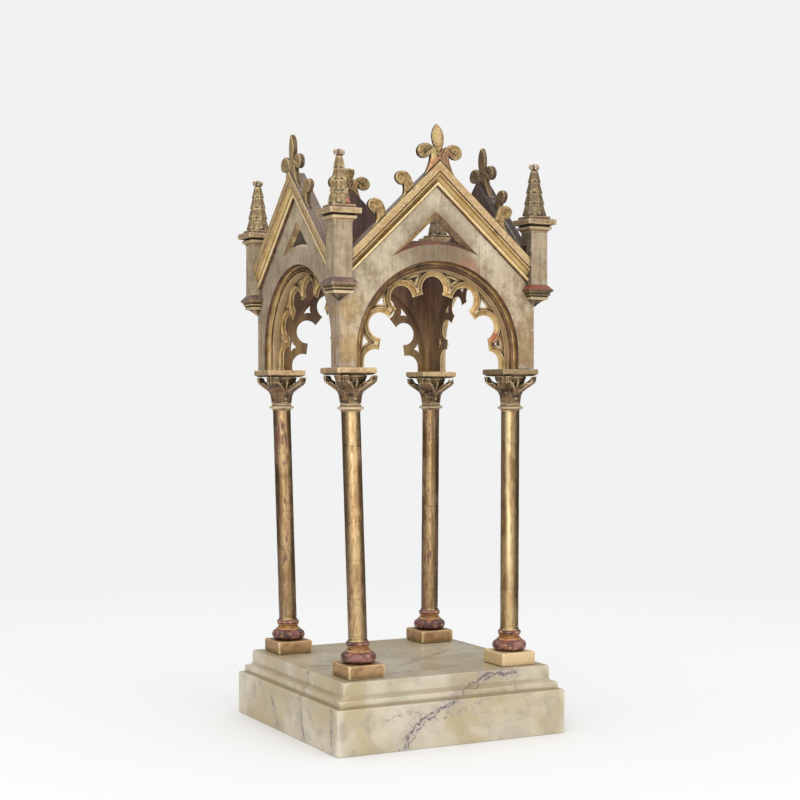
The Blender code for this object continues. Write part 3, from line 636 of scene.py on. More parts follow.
def painted_face(name, cream, grey, side_shade, inward=0.0):
    """Weathered paint with painted light; the fourth value and inward set painted shade on left and inner
    sides.
    """
    skin = Finish(name)
    runs = skin.noise(24.0)
    patches = skin.noise(70.0, 6.0, 0.66)
    grain = skin.noise(420.0)
    strokes = skin.noise(110.0, place=skin.drawn(0.18))
    low_right = skin.z.fall(0.82, 0.90) * skin.x.rise(0.04, 0.14)
    skin.ground((runs * 0.3 + patches * 0.35 + strokes * 0.35).rise(0.38, 0.62), cream, grey)
    ochre = patches * 0.3 + runs * 0.3 + strokes * 0.25 + skin.z.fall(0.80, 0.95) * 0.09 + low_right * 0.07
    skin.coat(ochre.rise(0.46, 0.58) * 0.62, FIELD_OCHRE)
    over_arch = skin.blob((-0.01, FACE, 0.9850), 0.115, patches)
    high = skin.z.rise(0.93, 1.00) * (1.0 - over_arch) * (1.0 - inward)
    left_side = skin.x.fall(-0.232, -0.226)
    # painted light on the upper gable, weaker on the left faces and stronger to the right
    lit = high * (1.0 - left_side * 0.7) * (patches.rise(0.30, 0.55) * 0.7 + skin.x.rise(0.0, 0.03) * 0.2)
    # a painted highlight on the field beside the right rake
    bright = skin.blob((0.0500, FACE, 1.0450), 0.045, patches) * 0.85
    skin.coat(lit.over(bright), (230, 215, 188))
    skin.coat(over_arch * 0.72, (112, 90, 68))
    skin.coat(skin.z.fall(0.80, 0.90) * skin.x.rise(0.10, 0.18) * 0.35, (140, 112, 76))
    skin.coat(skin.z.fall(0.77, 0.84) * 0.15, (150, 118, 76))
    # painted shade on the left faces, less of it up in the gable
    skin.coat(left_side * (1.0 - skin.z.rise(0.95, 1.06) * 0.8) * side_shade, (128, 106, 92))
    # painted shade on the right posts, most on their inner faces
    shaded_right_post = skin.x.rise(0.18, 0.19) * skin.x.fall(0.1945, 0.1952)
    skin.coat(shaded_right_post * inward + skin.x.rise(0.194, 0.196) * inward * 0.22, SOOT_AND_SHADE)
    skin.coat(skin.blob((0.0558, FACE, 0.9502), 0.034, patches) * 0.6, (162, 104, 72))
    gold = skin.blob((-0.2130, FACE, 0.8620), 0.040, patches)
    gold = gold.over(skin.blob((-0.2050, FACE, 0.7900), 0.040, patches))
    skin.coat(gold * strokes.rise(0.35, 0.55) * 0.6, (188, 152, 92))
    brown = patches * 0.5 + runs * 0.2 + strokes * 0.3 + skin.wear * 0.10 + low_right * 0.03
    skin.coat(brown.rise(0.46, 0.68) * 0.6, FIELD_BROWN)
    pale = (grain * 0.5 + patches * 0.5 + skin.wear * 0.16 - over_arch * 0.06).rise(0.56, 0.66)
    skin.coat(pale * (0.5 - over_arch * 0.4), GESSO)
    skin.coat((grain * 0.65 + runs * 0.35).rise(0.57, 0.63) * 0.55, (92, 74, 54))
    for start, end in JOINTS:
        skin.coat(joint_line(skin, start, end, grain) * 0.6, DIRT_AND_SHADE)
    # dirt and painted shade in the hollows and near other wood, less where the painted light lies
    lit_and_clean = high * 0.24 + bright * 0.20
    soil_and_shade = (skin.occlusion - 0.24).over(0.0) * 1.7 + skin.grime * 0.8 + patches * 0.5 - 0.22 - lit_and_clean
    skin.coat(soil_and_shade.rise(0.28, 0.80) * 0.85, DIRT_AND_SHADE)
    return skin.done(0.66 + patches * 0.1, 0.0, grain * 0.6 + patches, 0.0007)


# the fourth value sets painted shade on the left faces; the posts' fifth sets painted shade on the right posts
face_paint = painted_face("weathered_paint", FIELD_CREAM, FIELD_GREY, 0.45)
post_paint = painted_face("weathered_post_paint", (194, 173, 140), (146, 128, 102), 0.05, 0.8)
print("painted finishes:", face_paint.name, post_paint.name)

# %% [markdown]
# ## Stained and bare wood
#
# The boards' inner faces were never painted: they are stained a plum brown, paler low down, and a scrap of
# pale paper still sticks to one of them. Painted shade darkens the inner face on the right, and a painted
# highlight runs along its corner. Bevels keep the colour they were given, with painted shade on their right
# halves; quirks and narrow ledges are red bole darkened as a painted shadow line, and top edges show only
# soot and dust. The floor of a blind triangle is painted shade. All of these are simple: two tones from one
# noise, and a grain over them.

# %% Wood finishes
INNER_CORNER = 0.1732
SCRAP_PLACE = (-0.0055, 1.1020)


def stained_wood():
    """The inner faces; the one on the right is greyer, and darker as painted shade, with a painted highlight
    at its corner.
    """
    skin = Finish("stained_wood")
    figure = skin.noise(18.0, 5.0, 0.7, skin.drawn(0.12))
    streaks = skin.noise(90.0, 4.0, 0.7, skin.drawn(0.10))
    grain = skin.noise(240.0, place=skin.drawn(0.15))
    plum = skin.z.rise(0.90, 0.98)
    olive = skin.z.fall(0.80, 0.90)
    light = skin.mix(plum, skin.mix(olive, (130, 96, 66), (166, 134, 88)), (100, 71, 61))
    dark = skin.mix(plum, skin.mix(olive, (88, 61, 44), (120, 94, 62)), (65, 44, 42))
    skin.ground(figure.rise(0.38, 0.62), dark, light)
    shaded_right_side = skin.x.rise(INNER_CORNER - 0.002, INNER_CORNER)
    # painted shade on the inner face on the right
    skin.coat(shaded_right_side * 0.45, (66, 54, 48))
    skin.coat(streaks.rise(0.52, 0.64) * shaded_right_side * 0.45, (124, 108, 92))
    skin.coat(skin.z.fall(0.755, 0.790) * (1.0 - shaded_right_side) * 0.6, (170, 132, 82))
    # a painted highlight along the inner corner
    seam_highlight = abs(skin.x - INNER_CORNER + 0.0010).fall(0.0004, 0.0016)
    skin.coat(seam_highlight * skin.y.rise(0.10, 0.16) * 0.7, (176, 128, 96))
    skin.coat(grain.rise(0.5, 0.7) * 0.5, (48, 36, 32))
    scrap = abs(skin.y - SCRAP_PLACE[0]).rise(0.0178, 0.0172)
    scrap = scrap * abs(skin.z - SCRAP_PLACE[1]).rise(0.0210, 0.0204)
    skin.coat(scrap * skin.x.rise(0.1985, 0.1990) * 0.9, (216, 212, 216))
    # dirt and painted shade where other wood is close
    skin.coat(skin.occlusion.rise(0.15, 0.85) * 0.6, DIRT_AND_SHADE)
    return skin.done(0.62 + grain * 0.1, 0.0, grain, 0.0005)


def dusty_edges():
    """Top edges and ledges that nobody gilds: bare wood, soot and dust."""
    skin = Finish("dusty_edges")
    grain = skin.noise(300.0)
    skin.ground(skin.noise(50.0, 5.0, 0.7).rise(0.4, 0.6), (62, 54, 54), (88, 76, 70))
    skin.coat(skin.x.fall(-0.10, 0.10) * 0.7, (158, 138, 122))
    skin.coat(grain.rise(0.45, 0.65) * 0.5, (52, 42, 40))
    return skin.done(0.8, 0.0, grain, 0.0005)


def shadowed_bole():
    """Quirks and narrow ledges: red bole, darkened as a painted shadow line."""
    skin = Finish("shadowed_bole")
    grain = skin.noise(300.0)
    skin.ground(skin.noise(60.0, 5.0).rise(0.4, 0.6), (76, 54, 42), (118, 82, 58))
    return skin.done(0.7 + grain * 0.1, 0.0, grain, 0.0005)


def bevelled(name, light, deep):
    """The bevel of a gable's triangle, with painted shade on its right half."""
    skin = Finish(name)
    patches = skin.noise(45.0, 5.0)
    grain = skin.noise(260.0)
    skin.ground(patches.rise(0.42, 0.58), light, deep)
    # painted shade on the right half
    skin.coat(skin.x.rise(-0.012, -0.006) * (patches * 0.5 + 0.45), (88, 66, 50))
    skin.coat(grain.rise(0.5, 0.66) * 0.6, (84, 60, 44))
    # dirt and painted shade where other wood is close
    skin.coat(skin.occlusion.rise(0.25, 0.8) * 0.7, DIRT_AND_SHADE)
    return skin.done(0.6 + grain * 0.1, 0.0, grain, 0.0005)


def shaded_recess():
    """The floor of a blind triangle, painted shade: grey, and darkest beside the rakes."""
    skin = Finish("shaded_recess")
    grain = skin.noise(300.0)
    skin.ground(skin.noise(60.0, 5.0, 0.65).rise(0.42, 0.58), (88, 72, 62), (66, 54, 48))
    skin.coat(grain.rise(0.5, 0.66) * 0.4, (140, 120, 100))
    # painted shade, darkest where other wood is close
    skin.coat(skin.occlusion.rise(0.12, 0.5) * 0.9, DIRT_AND_SHADE)
    return skin.done(0.75, 0.0, grain, 0.0005)


inner_stain = stained_wood()
bevel_gold = bevelled("gold_bevel", (190, 158, 108), (144, 114, 78))
bevel_clay = bevelled("clay_bevel", (132, 74, 56), (104, 70, 52))
recess_floor = shaded_recess()
edge_dust = dusty_edges()
shadow_line_bole = shadowed_bole()
print("wood finishes:", inner_stain.name, bevel_clay.name, edge_dust.name)

# %% [markdown]
# ## Painted marble
#
# The plinth is wood painted as a cream marble: thin warm glazes make the clouds, and the veins are drawn
# over them with a feather, dragged and turned so that they fork. A soft varnish gives the top a low shine,
# and the top is darkened a little as painted shade. The arrises are lighter, where the paint is rubbed and
# a painted highlight lies.
# Each vein here is a chain of strokes between a few places. The places are bent by noise, as the hand
# sways, so a straight stroke wanders. Broad soft strokes make the vein's shadow and thin ones its lines.

# %% Where the veins run
MAIN_VEIN = [(-0.124, -0.2575, 0.001), (-0.087, -0.2575, 0.050), (-0.011, -0.2575, 0.0885),
             (0.034, -0.240, 0.107), (0.087, -0.2345, 0.1305), (0.144, -0.2345, 0.132)]
BRANCH_VEINS = [[(-0.058, -0.2575, 0.056), (-0.009, -0.2575, 0.060), (0.040, -0.2575, 0.077),
                 (0.090, -0.2475, 0.096), (0.141, -0.2475, 0.103)],
                [(0.034, -0.240, 0.104), (0.066, -0.2345, 0.126), (0.080, -0.2345, 0.136)],
                [(-0.150, -0.2575, 0.062), (-0.110, -0.2575, 0.076), (-0.070, -0.2575, 0.070)]]
SIDE_VEINS = [[(-0.2575, -0.2320, 0.0), (-0.2575, -0.2267, 0.0895), (-0.2345, -0.205, 0.1375)],
              [(-0.2575, -0.098, 0.009), (-0.2575, -0.078, 0.070), (-0.2345, -0.0635, 0.1374)],
              [(-0.2575, 0.0294, 0.0), (-0.2575, 0.0722, 0.067)]]
TOP_STREAKS = [[(-0.235, -0.019, 0.1375), (-0.083, -0.043, 0.1375)],
               [(-0.047, -0.103, 0.1375), (0.156, 0.042, 0.1375)],
               [(-0.120, -0.180, 0.1375), (0.060, -0.150, 0.1375)]]


def swayed(skin, scale, reach):
    """The places, bent by the sway of the hand."""
    sway = skin.node("ShaderNodeTexNoise", inputs={"Vector": skin.place, "Scale": scale, "Detail": 4.0})
    sway = skin.vector("SUBTRACT", sway.outputs["Color"], (0.5, 0.5, 0.5))
    return skin.vector("ADD", skin.place, skin.vector("SCALE", sway, reach))


def stroke(skin, bent, start, end, width):
    """A brushed line between two places."""
    start, end = Vector(start), Vector(end)
    along = (end - start).normalized()
    offset = skin.vector("SUBTRACT", bent, start)
    share = Number(skin, skin.vector("DOT_PRODUCT", offset, along, "Value"))
    share = share.over(0.0).under((end - start).length)
    away = skin.vector("DISTANCE", offset, skin.vector("SCALE", along, share), "Value")
    return Number(skin, away).fall(width * 0.2, width)


def vein(skin, bent, places, width):
    """A chain of strokes."""
    whole, *others = [stroke(skin, bent, start, end, width) for start, end in zip(places, places[1:])]
    for part in others:
        whole = whole.over(part)
    return whole


print("veins:", 1 + len(BRANCH_VEINS) + len(SIDE_VEINS), "streaks on the top:", len(TOP_STREAKS))


# %% Marble finish
def painted_marble():
    skin = Finish("painted_marble")
    clouds = skin.noise(7.0, 4.0, 0.55, distortion=0.6)
    patches = skin.noise(24.0, 5.0)
    ripple = skin.noise(60.0, 4.0, 0.7)
    grain = skin.noise(240.0, 3.0)
    slow = swayed(skin, 26.0, 0.032)
    quick = swayed(skin, 58.0, 0.026)
    skin.ground(clouds.rise(0.36, 0.64), (208, 198, 176), (186, 169, 132))
    skin.coat(patches.rise(0.42, 0.70) * 0.5, (172, 162, 142))
    skin.coat(abs(clouds - 0.5).fall(0.0, 0.05) * patches.rise(0.42, 0.62) * 0.35, (150, 138, 122))
    feather = abs(skin.noise(46.0, 1.5, 0.5, distortion=1.2) - 0.5).fall(0.0, 0.03)
    for places in SIDE_VEINS:
        broad = vein(skin, slow, places, 0.018)
        skin.coat(broad * 0.25, (160, 148, 140))
        skin.coat(broad * feather * 0.5, (128, 114, 114))
        skin.coat(vein(skin, quick, places, 0.0040) * ripple.rise(0.26, 0.44) * 0.8, (106, 94, 98))
    for places in TOP_STREAKS:
        skin.coat(vein(skin, slow, places, 0.0090) * ripple.rise(0.34, 0.58) * 0.7, (110, 96, 96))
    for places in BRANCH_VEINS:
        skin.coat(vein(skin, slow, places, 0.018) * feather * 0.5, (124, 108, 114))
        skin.coat(vein(skin, quick, places, 0.0026) * ripple.rise(0.36, 0.54) * 0.7, (112, 96, 106))
    broad = vein(skin, slow, MAIN_VEIN, 0.026)
    skin.coat(broad * 0.3, (164, 150, 146))
    skin.coat(broad * feather * 0.6, (116, 100, 110))
    beside = [(x + 0.011, y, z - 0.003) for x, y, z in MAIN_VEIN]
    for places, bent in ((MAIN_VEIN, slow), (MAIN_VEIN, quick), (beside, quick)):
        skin.coat(vein(skin, bent, places, 0.0027) * ripple.rise(0.24, 0.42) * 0.85, (92, 78, 92))
    top = skin.z.rise(0.1362, 0.1372)
    # painted shade: the top is a little darker
    skin.coat(top * 0.28, (150, 136, 112))
    # lighter arrises: rubbed paint and a painted highlight
    skin.coat(skin.wear.rise(0.35, 0.8) * 0.5, (234, 226, 206))
    # browner in the hollows
    skin.coat(skin.grime.rise(0.08, 0.4) * 0.6, (138, 116, 80))
    return skin.done(0.34 + patches * 0.16 - top * 0.16, 0.0, patches * 0.4 + grain * 0.15, 0.0004)


marble = painted_marble()
print("marble nodes:", len(marble.node_tree.nodes))

# %% [markdown]
# ## Putting a piece in the scene
#
# Every piece goes through the same last steps. Its points are merged and its faces turned outwards, a
# slow noise moves them by a few tenths of a millimetre, because hand-planed wood is never quite flat,
# and the three masks that the finishes read are worked out. The bend at a point is how far its neighbours
# lie above or below it: on a ridge they lie below, and that point is worn and takes a painted highlight;
# in a hollow they lie above, and that point takes dirt and painted shade. Soot and dust also settle, and
# painted shade is laid, wherever a duster can't reach. To find those places, a few short rays leave each
# point, and the share of them that soon meet wood is how closed in it is.


# %% Wear, hollows and occlusion
class Surface:
    """A mesh as arrays: each point's place and normal, and the two ends of each edge."""

    def __init__(self, mesh):
        self.mesh = mesh
        self.count = len(mesh.vertices)
        self.place = np.empty((self.count, 3))
        mesh.vertices.foreach_get("co", self.place.reshape(-1))
        self.normal = np.empty((self.count, 3))
        mesh.vertex_normals.foreach_get("vector", self.normal.reshape(-1))
        ends = np.empty((len(mesh.edges), 2), dtype=np.int64)
        mesh.edges.foreach_get("vertices", ends.reshape(-1))
        self.first, self.second = ends.T
        self.valence = np.maximum(self.gather(None, None), 1)

    def gather(self, at_first, at_second):
        """Each point's sum over its edges."""
        return (np.bincount(self.first, at_first, self.count)
                + np.bincount(self.second, at_second, self.count))

    def smoothed(self, value):
        """The value, twice shared with the neighbours."""
        for _ in range(2):
            around = self.gather(value[self.second], value[self.first])
            value = 0.4 * value + 0.6 * around / self.valence
        return value

    def keep(self, name, value):
        """Keeps a mask on the points, for the finishes to read."""
        attribute = self.mesh.attributes.new(name, "FLOAT", "POINT")
        attribute.data.foreach_set("value", np.clip(value, 0.0, 1.0).astype(np.float32))


def edge_and_hollow_masks(surface, gain):
    """How convex each point is, for wear and painted highlights, and how hollow, for dirt and painted shade.
    """
    step = surface.place[surface.second] - surface.place[surface.first]
    length = np.maximum(np.linalg.norm(step, axis=1), 1e-7)
    rise_first = np.einsum("ij,ij->i", step, surface.normal[surface.first]) / length
    rise_second = -np.einsum("ij,ij->i", step, surface.normal[surface.second]) / length
    bend = surface.smoothed(surface.gather(rise_first, rise_second) / surface.valence) * gain
    surface.keep("wear", -bend)
    surface.keep("grime", bend)


def tree_of(meshes):
    """A search tree of all the faces of some meshes."""
    places, faces = [], []
    for mesh in meshes:
        first = len(places)
        places += [vert.co.copy() for vert in mesh.vertices]
        faces += [[first + i for i in polygon.vertices] for polygon in mesh.polygons]
    return BVHTree.FromPolygons(places, faces)


RAYS = 9
REACH = 0.022
OWN_LIFT = 0.0005
OTHER_LIFT = 0.0018
GOLDEN_ANGLE = 2.39996


# the closeness found here lays dirt and painted shade in the finishes
def occlusion(surface, stands_for):
    """How much wood is close in front of each point: of the piece itself, and of the others' solids."""
    around = tree_of([scene.objects[node].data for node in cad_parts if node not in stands_for])
    itself = tree_of([surface.mesh])
    normal = surface.normal
    helper = np.where(np.abs(normal[:, 2:]) < 0.9, np.array([[0.0, 0.0, 1.0]]), np.array([[1.0, 0.0, 0.0]]))
    side = np.cross(helper, normal)
    side /= np.maximum(np.linalg.norm(side, axis=1, keepdims=True), 1e-9)
    other = np.cross(normal, side)
    closed = np.zeros(surface.count)
    own_start = (surface.place + normal * OWN_LIFT).tolist()
    other_start = (surface.place + normal * OTHER_LIFT).tolist()
    for k in range(RAYS):
        sine = math.sqrt((k + 0.5) / RAYS)
        turn = GOLDEN_ANGLE * k + 2.0 * (np.arange(surface.count) % 3)[:, None]
        ray = side * (sine * np.cos(turn)) + other * (sine * np.sin(turn)) + normal * math.sqrt(1 - sine**2)
        for i, direction in enumerate(ray.tolist()):
            hit = itself.ray_cast(own_start[i], direction, REACH)[3]
            if hit is None:
                hit = around.ray_cast(other_start[i], direction, REACH)[3]
            if hit is not None:
                closed[i] += 1.0 - 0.6 * hit / REACH
    surface.keep("occlusion", surface.smoothed(closed / RAYS))


print("rays from each point:", RAYS)

# %% [markdown]
# The last steps run in one order: close, place, roughen, wear and link. Each piece then rides on the
# object's one body, and the solids it stands for are hidden.


# %% Placing a piece
UNEVEN_PITCH = 35.0


def add_piece(name, bm, finishes, stands_for, matrix=None, uneven=0.0003, angle=40.0, gain=3.0,
              slot="gilded_wood"):
    """Closes, places, wears and links one piece, and hides the solids it stands for."""
    bmesh.ops.remove_doubles(bm, verts=bm.verts, dist=1e-6)
    if matrix:
        bm.transform(matrix)
    bmesh.ops.recalc_face_normals(bm, faces=bm.faces)
    if bm.calc_volume(signed=True) < 0:
        bmesh.ops.reverse_faces(bm, faces=bm.faces)
    bm.normal_update()
    moves = [vert.normal * uneven * min(0.8 * noise.fractal(vert.co * UNEVEN_PITCH, 0.9, 2.0, 3) - 0.5, 0.0)
             for vert in bm.verts]
    for vert, move in zip(bm.verts, moves):
        vert.co += move
    mesh = bpy.data.meshes.new(name)
    bm.to_mesh(mesh)
    bm.free()
    for finish in finishes:
        mesh.materials.append(finish)
    mesh.shade_smooth()
    mesh.set_sharp_from_angle(angle=math.radians(angle))
    surface = Surface(mesh)
    edge_and_hollow_masks(surface, gain)
    occlusion(surface, stands_for)
    piece = bpy.data.objects.new(name, mesh)
    scene.collection.objects.link(piece)
    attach(piece, "root")
    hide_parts(*stands_for)
    return piece


def finish_where(bm, chosen, index):
    """Gives another of the piece's finishes to the faces that a rule chooses."""
    bmesh.ops.recalc_face_normals(bm, faces=bm.faces)
    for face in bm.faces:
        if chosen(face):
            face.material_index = index


def joined(bm, *parts):
    """One mesh of several, which are used up."""
    for part in parts:
        spare = bpy.data.meshes.new("spare")
        part.to_mesh(spare)
        part.free()
        bm.from_mesh(spare)
        bpy.data.meshes.remove(spare)
    return bm


def report(title, pieces):
    faces = sum(sum(len(polygon.vertices) - 2 for polygon in piece.data.polygons) for piece in pieces)
    print(f"{title}: {len(pieces)} pieces, {faces} triangles")


print("unevenness repeats about every", round(1.0 / UNEVEN_PITCH, 3), "m")

# %% [markdown]
# ## Squared pieces with eased edges
#
# The plinth, the column blocks, the abaci and the pinnacles are squared timber. Each is a loft: one outline
# repeated at rising heights, wider or narrower as the moulding asks. A corner is a small arc, never a
# point, and more points stand near the corners than along the sides, so that wear can stay close to an
# edge without filling the flat faces with triangles.

# %% Eased outlines and lofts
GRADES = (0.03, 0.1, 0.25, 0.5, 0.75, 0.9, 0.97)
GAP = 0.0003


def eased_outline(corners, easing):
    """A polygon with each corner rounded and its sides divided, closely near the corners."""
    corners = [Vector(corner) for corner in corners]
    points = []
    for i, corner in enumerate(corners):
        before = corners[i - 1] - corner
        after = corners[(i + 1) % len(corners)] - corner
        radius = min(easing, 0.4 * before.length, 0.4 * after.length)
        start = corner + before.normalized() * radius
        end = corner + after.normalized() * radius
        chord = (start + end) / 2
        points += [start, corner.lerp(chord, 0.59), end]
        last = corner + after - after.normalized() * min(easing, 0.4 * after.length)
        points += [end.lerp(last, grade) for grade in GRADES]
    return points


def square(half):
    return ((-half, -half), (half, -half), (half, half), (-half, half))


def notched_square(half):
    """A square whose quarter towards the inside of the canopy is cut away, a gap clear of the boards."""
    inner = -GAP if half > 2 * GAP else 0.0
    return ((-half, -half), (half, -half), (half, inner), (inner, inner), (inner, half), (-half, half))


def skinned(rings, finishes=None):
    """A body through rings of equally many points, with a cap at each end."""
    bm = bmesh.new()
    rows = [[bm.verts.new(point) for point in ring] for ring in rings]
    for lower, upper in zip(rows, rows[1:]):
        for i in range(len(lower)):
            j = (i + 1) % len(lower)
            face = bm.faces.new((lower[i], lower[j], upper[j], upper[i]))
            face.material_index = finishes[i] if finishes else 0
    bm.faces.new(reversed(rows[0]))
    bm.faces.new(rows[-1])
    return bm


def shrink(ring, share):
    centre = sum((Vector(point) for point in ring), Vector()) / len(ring)
    return [centre + (Vector(point) - centre) * share for point in ring]


def loft(rings):
    """A body through rings, its ends closed by shrinking rings."""
    closing = (0.97, 0.8, 0.4)
    whole = [shrink(rings[0], share) for share in reversed(closing)] + list(rings)
    return skinned(whole + [shrink(rings[-1], share) for share in closing])


def square_loft(profile, easing, outline=square):
    """A loft of squares from (half side, height) pairs."""
    rings = []
    for half, z in profile:
        rings.append([(*point, z) for point in eased_outline(outline(half), easing)])
    return loft(rings)


def arc(centre, radii, start, end, steps):
    """Points on an arc, its angles in degrees from the first axis towards the second."""
    points = []
    for i in range(steps + 1):
        angle = math.radians(start + (end - start) * i / steps)
        points.append((centre[0] + radii[0] * math.cos(angle), centre[1] + radii[1] * math.sin(angle)))
    return points


def slab(half, low, high, easing):
    """The profile of a plain slab with rounded upper and lower edges."""
    inner = half - easing
    lower = arc((inner, low + easing), (easing, easing), -90, 0, 3)
    upper = arc((inner, high - easing), (easing, easing), 0, 90, 3)
    return [*lower, (half, low + (high - low) * 0.35), (half, low + (high - low) * 0.65), *upper]


print("points in one eased square:", len(eased_outline(square(1.0), 0.1)))

# %% [markdown]
# ## The plinth
#
# A low box with a stepped top: a square block, a narrower tier, a hollow moulding (a cove) and a slab. It
# is one loft, because every step has the same square outline. Knocks have rounded its arrises.

# %% Make the plinth
plinth_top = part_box("plinth")[1].z
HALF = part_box("plinth")[1].x
BLOCK_TOP = 0.0895
TIER_HALF = 0.2475
TIER_TOP = 0.1045
SLAB_HALF = 0.2345
COVE_TOP = 0.1130
plinth_profile = [
    *slab(HALF, 0.0, BLOCK_TOP, 0.0022),
    (TIER_HALF + 0.0008, BLOCK_TOP),
    (TIER_HALF, BLOCK_TOP + 0.0008),
    (TIER_HALF, (BLOCK_TOP + TIER_TOP) / 2),
    *arc((TIER_HALF - 0.0016, TIER_TOP - 0.0016), (0.0016, 0.0016), 0, 90, 3),
    *arc((TIER_HALF - 0.0026, COVE_TOP - 0.0002), (TIER_HALF - 0.0026 - SLAB_HALF, 0.0083), 270, 180, 6),
    (SLAB_HALF, COVE_TOP + 0.0020),
    (SLAB_HALF, (COVE_TOP + plinth_top) / 2),
    *arc((SLAB_HALF - 0.0026, plinth_top - 0.0026), (0.0026, 0.0026), 0, 90, 4),
]
plinth_mesh = square_loft(plinth_profile, 0.0030)
report("plinth", [add_piece("marbled_plinth", plinth_mesh, [marble], ["plinth"], uneven=0.0005, gain=5.0,
                            slot="marbled_wood")])

# %% [markdown]
# ## Blocks and abaci
#
# Each column stands on a square block and ends in an abacus, the plate that spreads the load of the arches.
# An abacus is bevelled below, so it looks thinner than it is. Its underside is left as it was sawn.

# %% Make the blocks and the abaci
BRUISED_EDGE = 0.0030


def square_node(node):
    """The half side, lower and upper height of a square solid, and the way to its middle."""
    low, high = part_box(node)
    middle = (low + high) / 2
    return high.x - middle.x, low.z, high.z, Matrix.Translation((middle.x, middle.y, 0.0))


blocks = []
for tag in CORNERS:
    half, low, high, place = square_node(f"column_block_{tag}")
    bm = square_loft(slab(half, low, high, BRUISED_EDGE), BRUISED_EDGE)
    blocks.append(add_piece(f"square_block_{tag}", bm, [block_gilding], [f"column_block_{tag}"],
                            place, 0.0005))
report("blocks", blocks)

abaci = []
for tag in CORNERS:
    half, low, high, place = square_node(f"abacus_{tag}")
    profile = [
        (half - 0.0090, low),
        (half - 0.0052, low + 0.0010),
        (half - 0.0015, low + 0.0034),
        *arc((half - 0.0012, low + 0.0047), (0.0012, 0.0012), -30, 0, 2),
        *arc((half - 0.0014, high - 0.0014), (0.0014, 0.0014), 0, 90, 3),
    ]
    bm = square_loft(profile, 0.0020)
    finish_where(bm, lambda face: face.normal.z < -0.5, 1)
    abaci.append(add_piece(f"bevelled_abacus_{tag}", bm, [abacus_gilding, sawn_and_shaded_gilding], [f"abacus_{tag}"],
                           place, 0.0005))
report("abaci", abaci)

# %% [markdown]
# ## Turned columns
#
# A column is turned on a lathe: one profile line, swung round an axis. A Geometry Nodes tree does the same.
# It wraps a grid round the axis, and reads from the profile curve how far out and how high each row
# stands. The lean is an input of its own, because the real columns have worked loose at the top and no
# longer stand plumb.


# %% The lathe tree
def maker_group(name, inputs, output):
    """An empty Geometry Nodes group with its named inputs."""
    group = bpy.data.node_groups.new(name, "GeometryNodeTree")
    for title, kind in inputs.items():
        group.interface.new_socket(name=title, in_out="INPUT", socket_type=f"NodeSocket{kind}")
    group.interface.new_socket(name=output, in_out="OUTPUT", socket_type="NodeSocketGeometry")
    return group


def finish_tree(tree, geometry, material):
    """The last three nodes of a maker: real geometry, its finish and the way out."""
    real = tree.node("GeometryNodeRealizeInstances", inputs={0: geometry}).outputs[0]
    coated = tree.node("GeometryNodeSetMaterial", inputs={"Geometry": real, "Material": material})
    tree.node("NodeGroupOutput", inputs={0: coated.outputs[0]})


def input_names(group):
    return [item.name for item in group.interface.items_tree if item.in_out == "INPUT"]


LATHE_INPUTS = {"Profile": "Object", "Points around": "Int", "Points along": "Int",
                "Lean X": "Float", "Lean Y": "Float"}


def lathe_tree(material):
    group = maker_group("lathe", LATHE_INPUTS, "Turned body")
    tree = Tree(group)
    given = tree.node("NodeGroupInput").outputs
    size = {"Size X": 1.0, "Size Y": 1.0, "Vertices X": given["Points around"],
            "Vertices Y": given["Points along"]}
    sheet = tree.node("GeometryNodeMeshGrid", inputs=size).outputs["Mesh"]
    position = tree.node("GeometryNodeInputPosition").outputs[0]
    spot = tree.node("ShaderNodeSeparateXYZ", inputs={0: position}).outputs
    turn = (Number(tree, spot["X"]) + 0.5) * (2 * math.pi)
    along = Number(tree, spot["Y"]) + 0.5
    line = {"Object": given["Profile"]}
    line = tree.node("GeometryNodeObjectInfo", {"transform_space": "RELATIVE"}, line).outputs["Geometry"]
    reading = {"Curves": line, "Factor": along}
    reading = tree.node("GeometryNodeSampleCurve", {"mode": "FACTOR"}, reading).outputs["Position"]
    point = tree.node("ShaderNodeSeparateXYZ", inputs={0: reading}).outputs
    radius = Number(tree, point["X"])
    height = Number(tree, point["Z"])
    x = radius * turn.alone("COSINE") + Number(tree, given["Lean X"]) * height
    y = radius * turn.alone("SINE") + Number(tree, given["Lean Y"]) * height
    wrapped = tree.node("ShaderNodeCombineXYZ", inputs={"X": x, "Y": y, "Z": height}).outputs[0]
    body = tree.node("GeometryNodeSetPosition", inputs={"Geometry": sheet, "Position": wrapped}).outputs[0]
    closed = {"Geometry": body, "Distance": 1e-5}
    finish_tree(tree, tree.node("GeometryNodeMergeByDistance", inputs=closed).outputs[0], material)
    return group


lathe = lathe_tree(shaft_gilding)
print("lathe inputs:", input_names(lathe))

# %% [markdown]
# A tree works on a carrier object. What it makes is copied out as a plain mesh, so that the piece can be
# worn like all the others, and the carrier goes. The profile's points are set closely enough for the
# lathe to read every bend.


# %% Running a tree
def run_tree(group, values):
    """A bmesh of what a Geometry Nodes tree makes, from the values of its named inputs."""
    carrier = bpy.data.objects.new("carrier", bpy.data.meshes.new("carrier"))
    scene.collection.objects.link(carrier)
    modifier = carrier.modifiers.new("maker", "NODES")
    modifier.node_group = group
    for item in group.interface.items_tree:
        if item.in_out == "INPUT" and item.name in values:
            modifier[item.identifier] = values[item.name]
    depsgraph = bpy.context.evaluated_depsgraph_get()
    made = bpy.data.meshes.new_from_object(carrier.evaluated_get(depsgraph), depsgraph=depsgraph)
    bm = bmesh.new()
    bm.from_mesh(made)
    carrier.modifiers.remove(modifier)
    bpy.data.objects.remove(carrier)
    bpy.data.meshes.remove(made)
    return bm


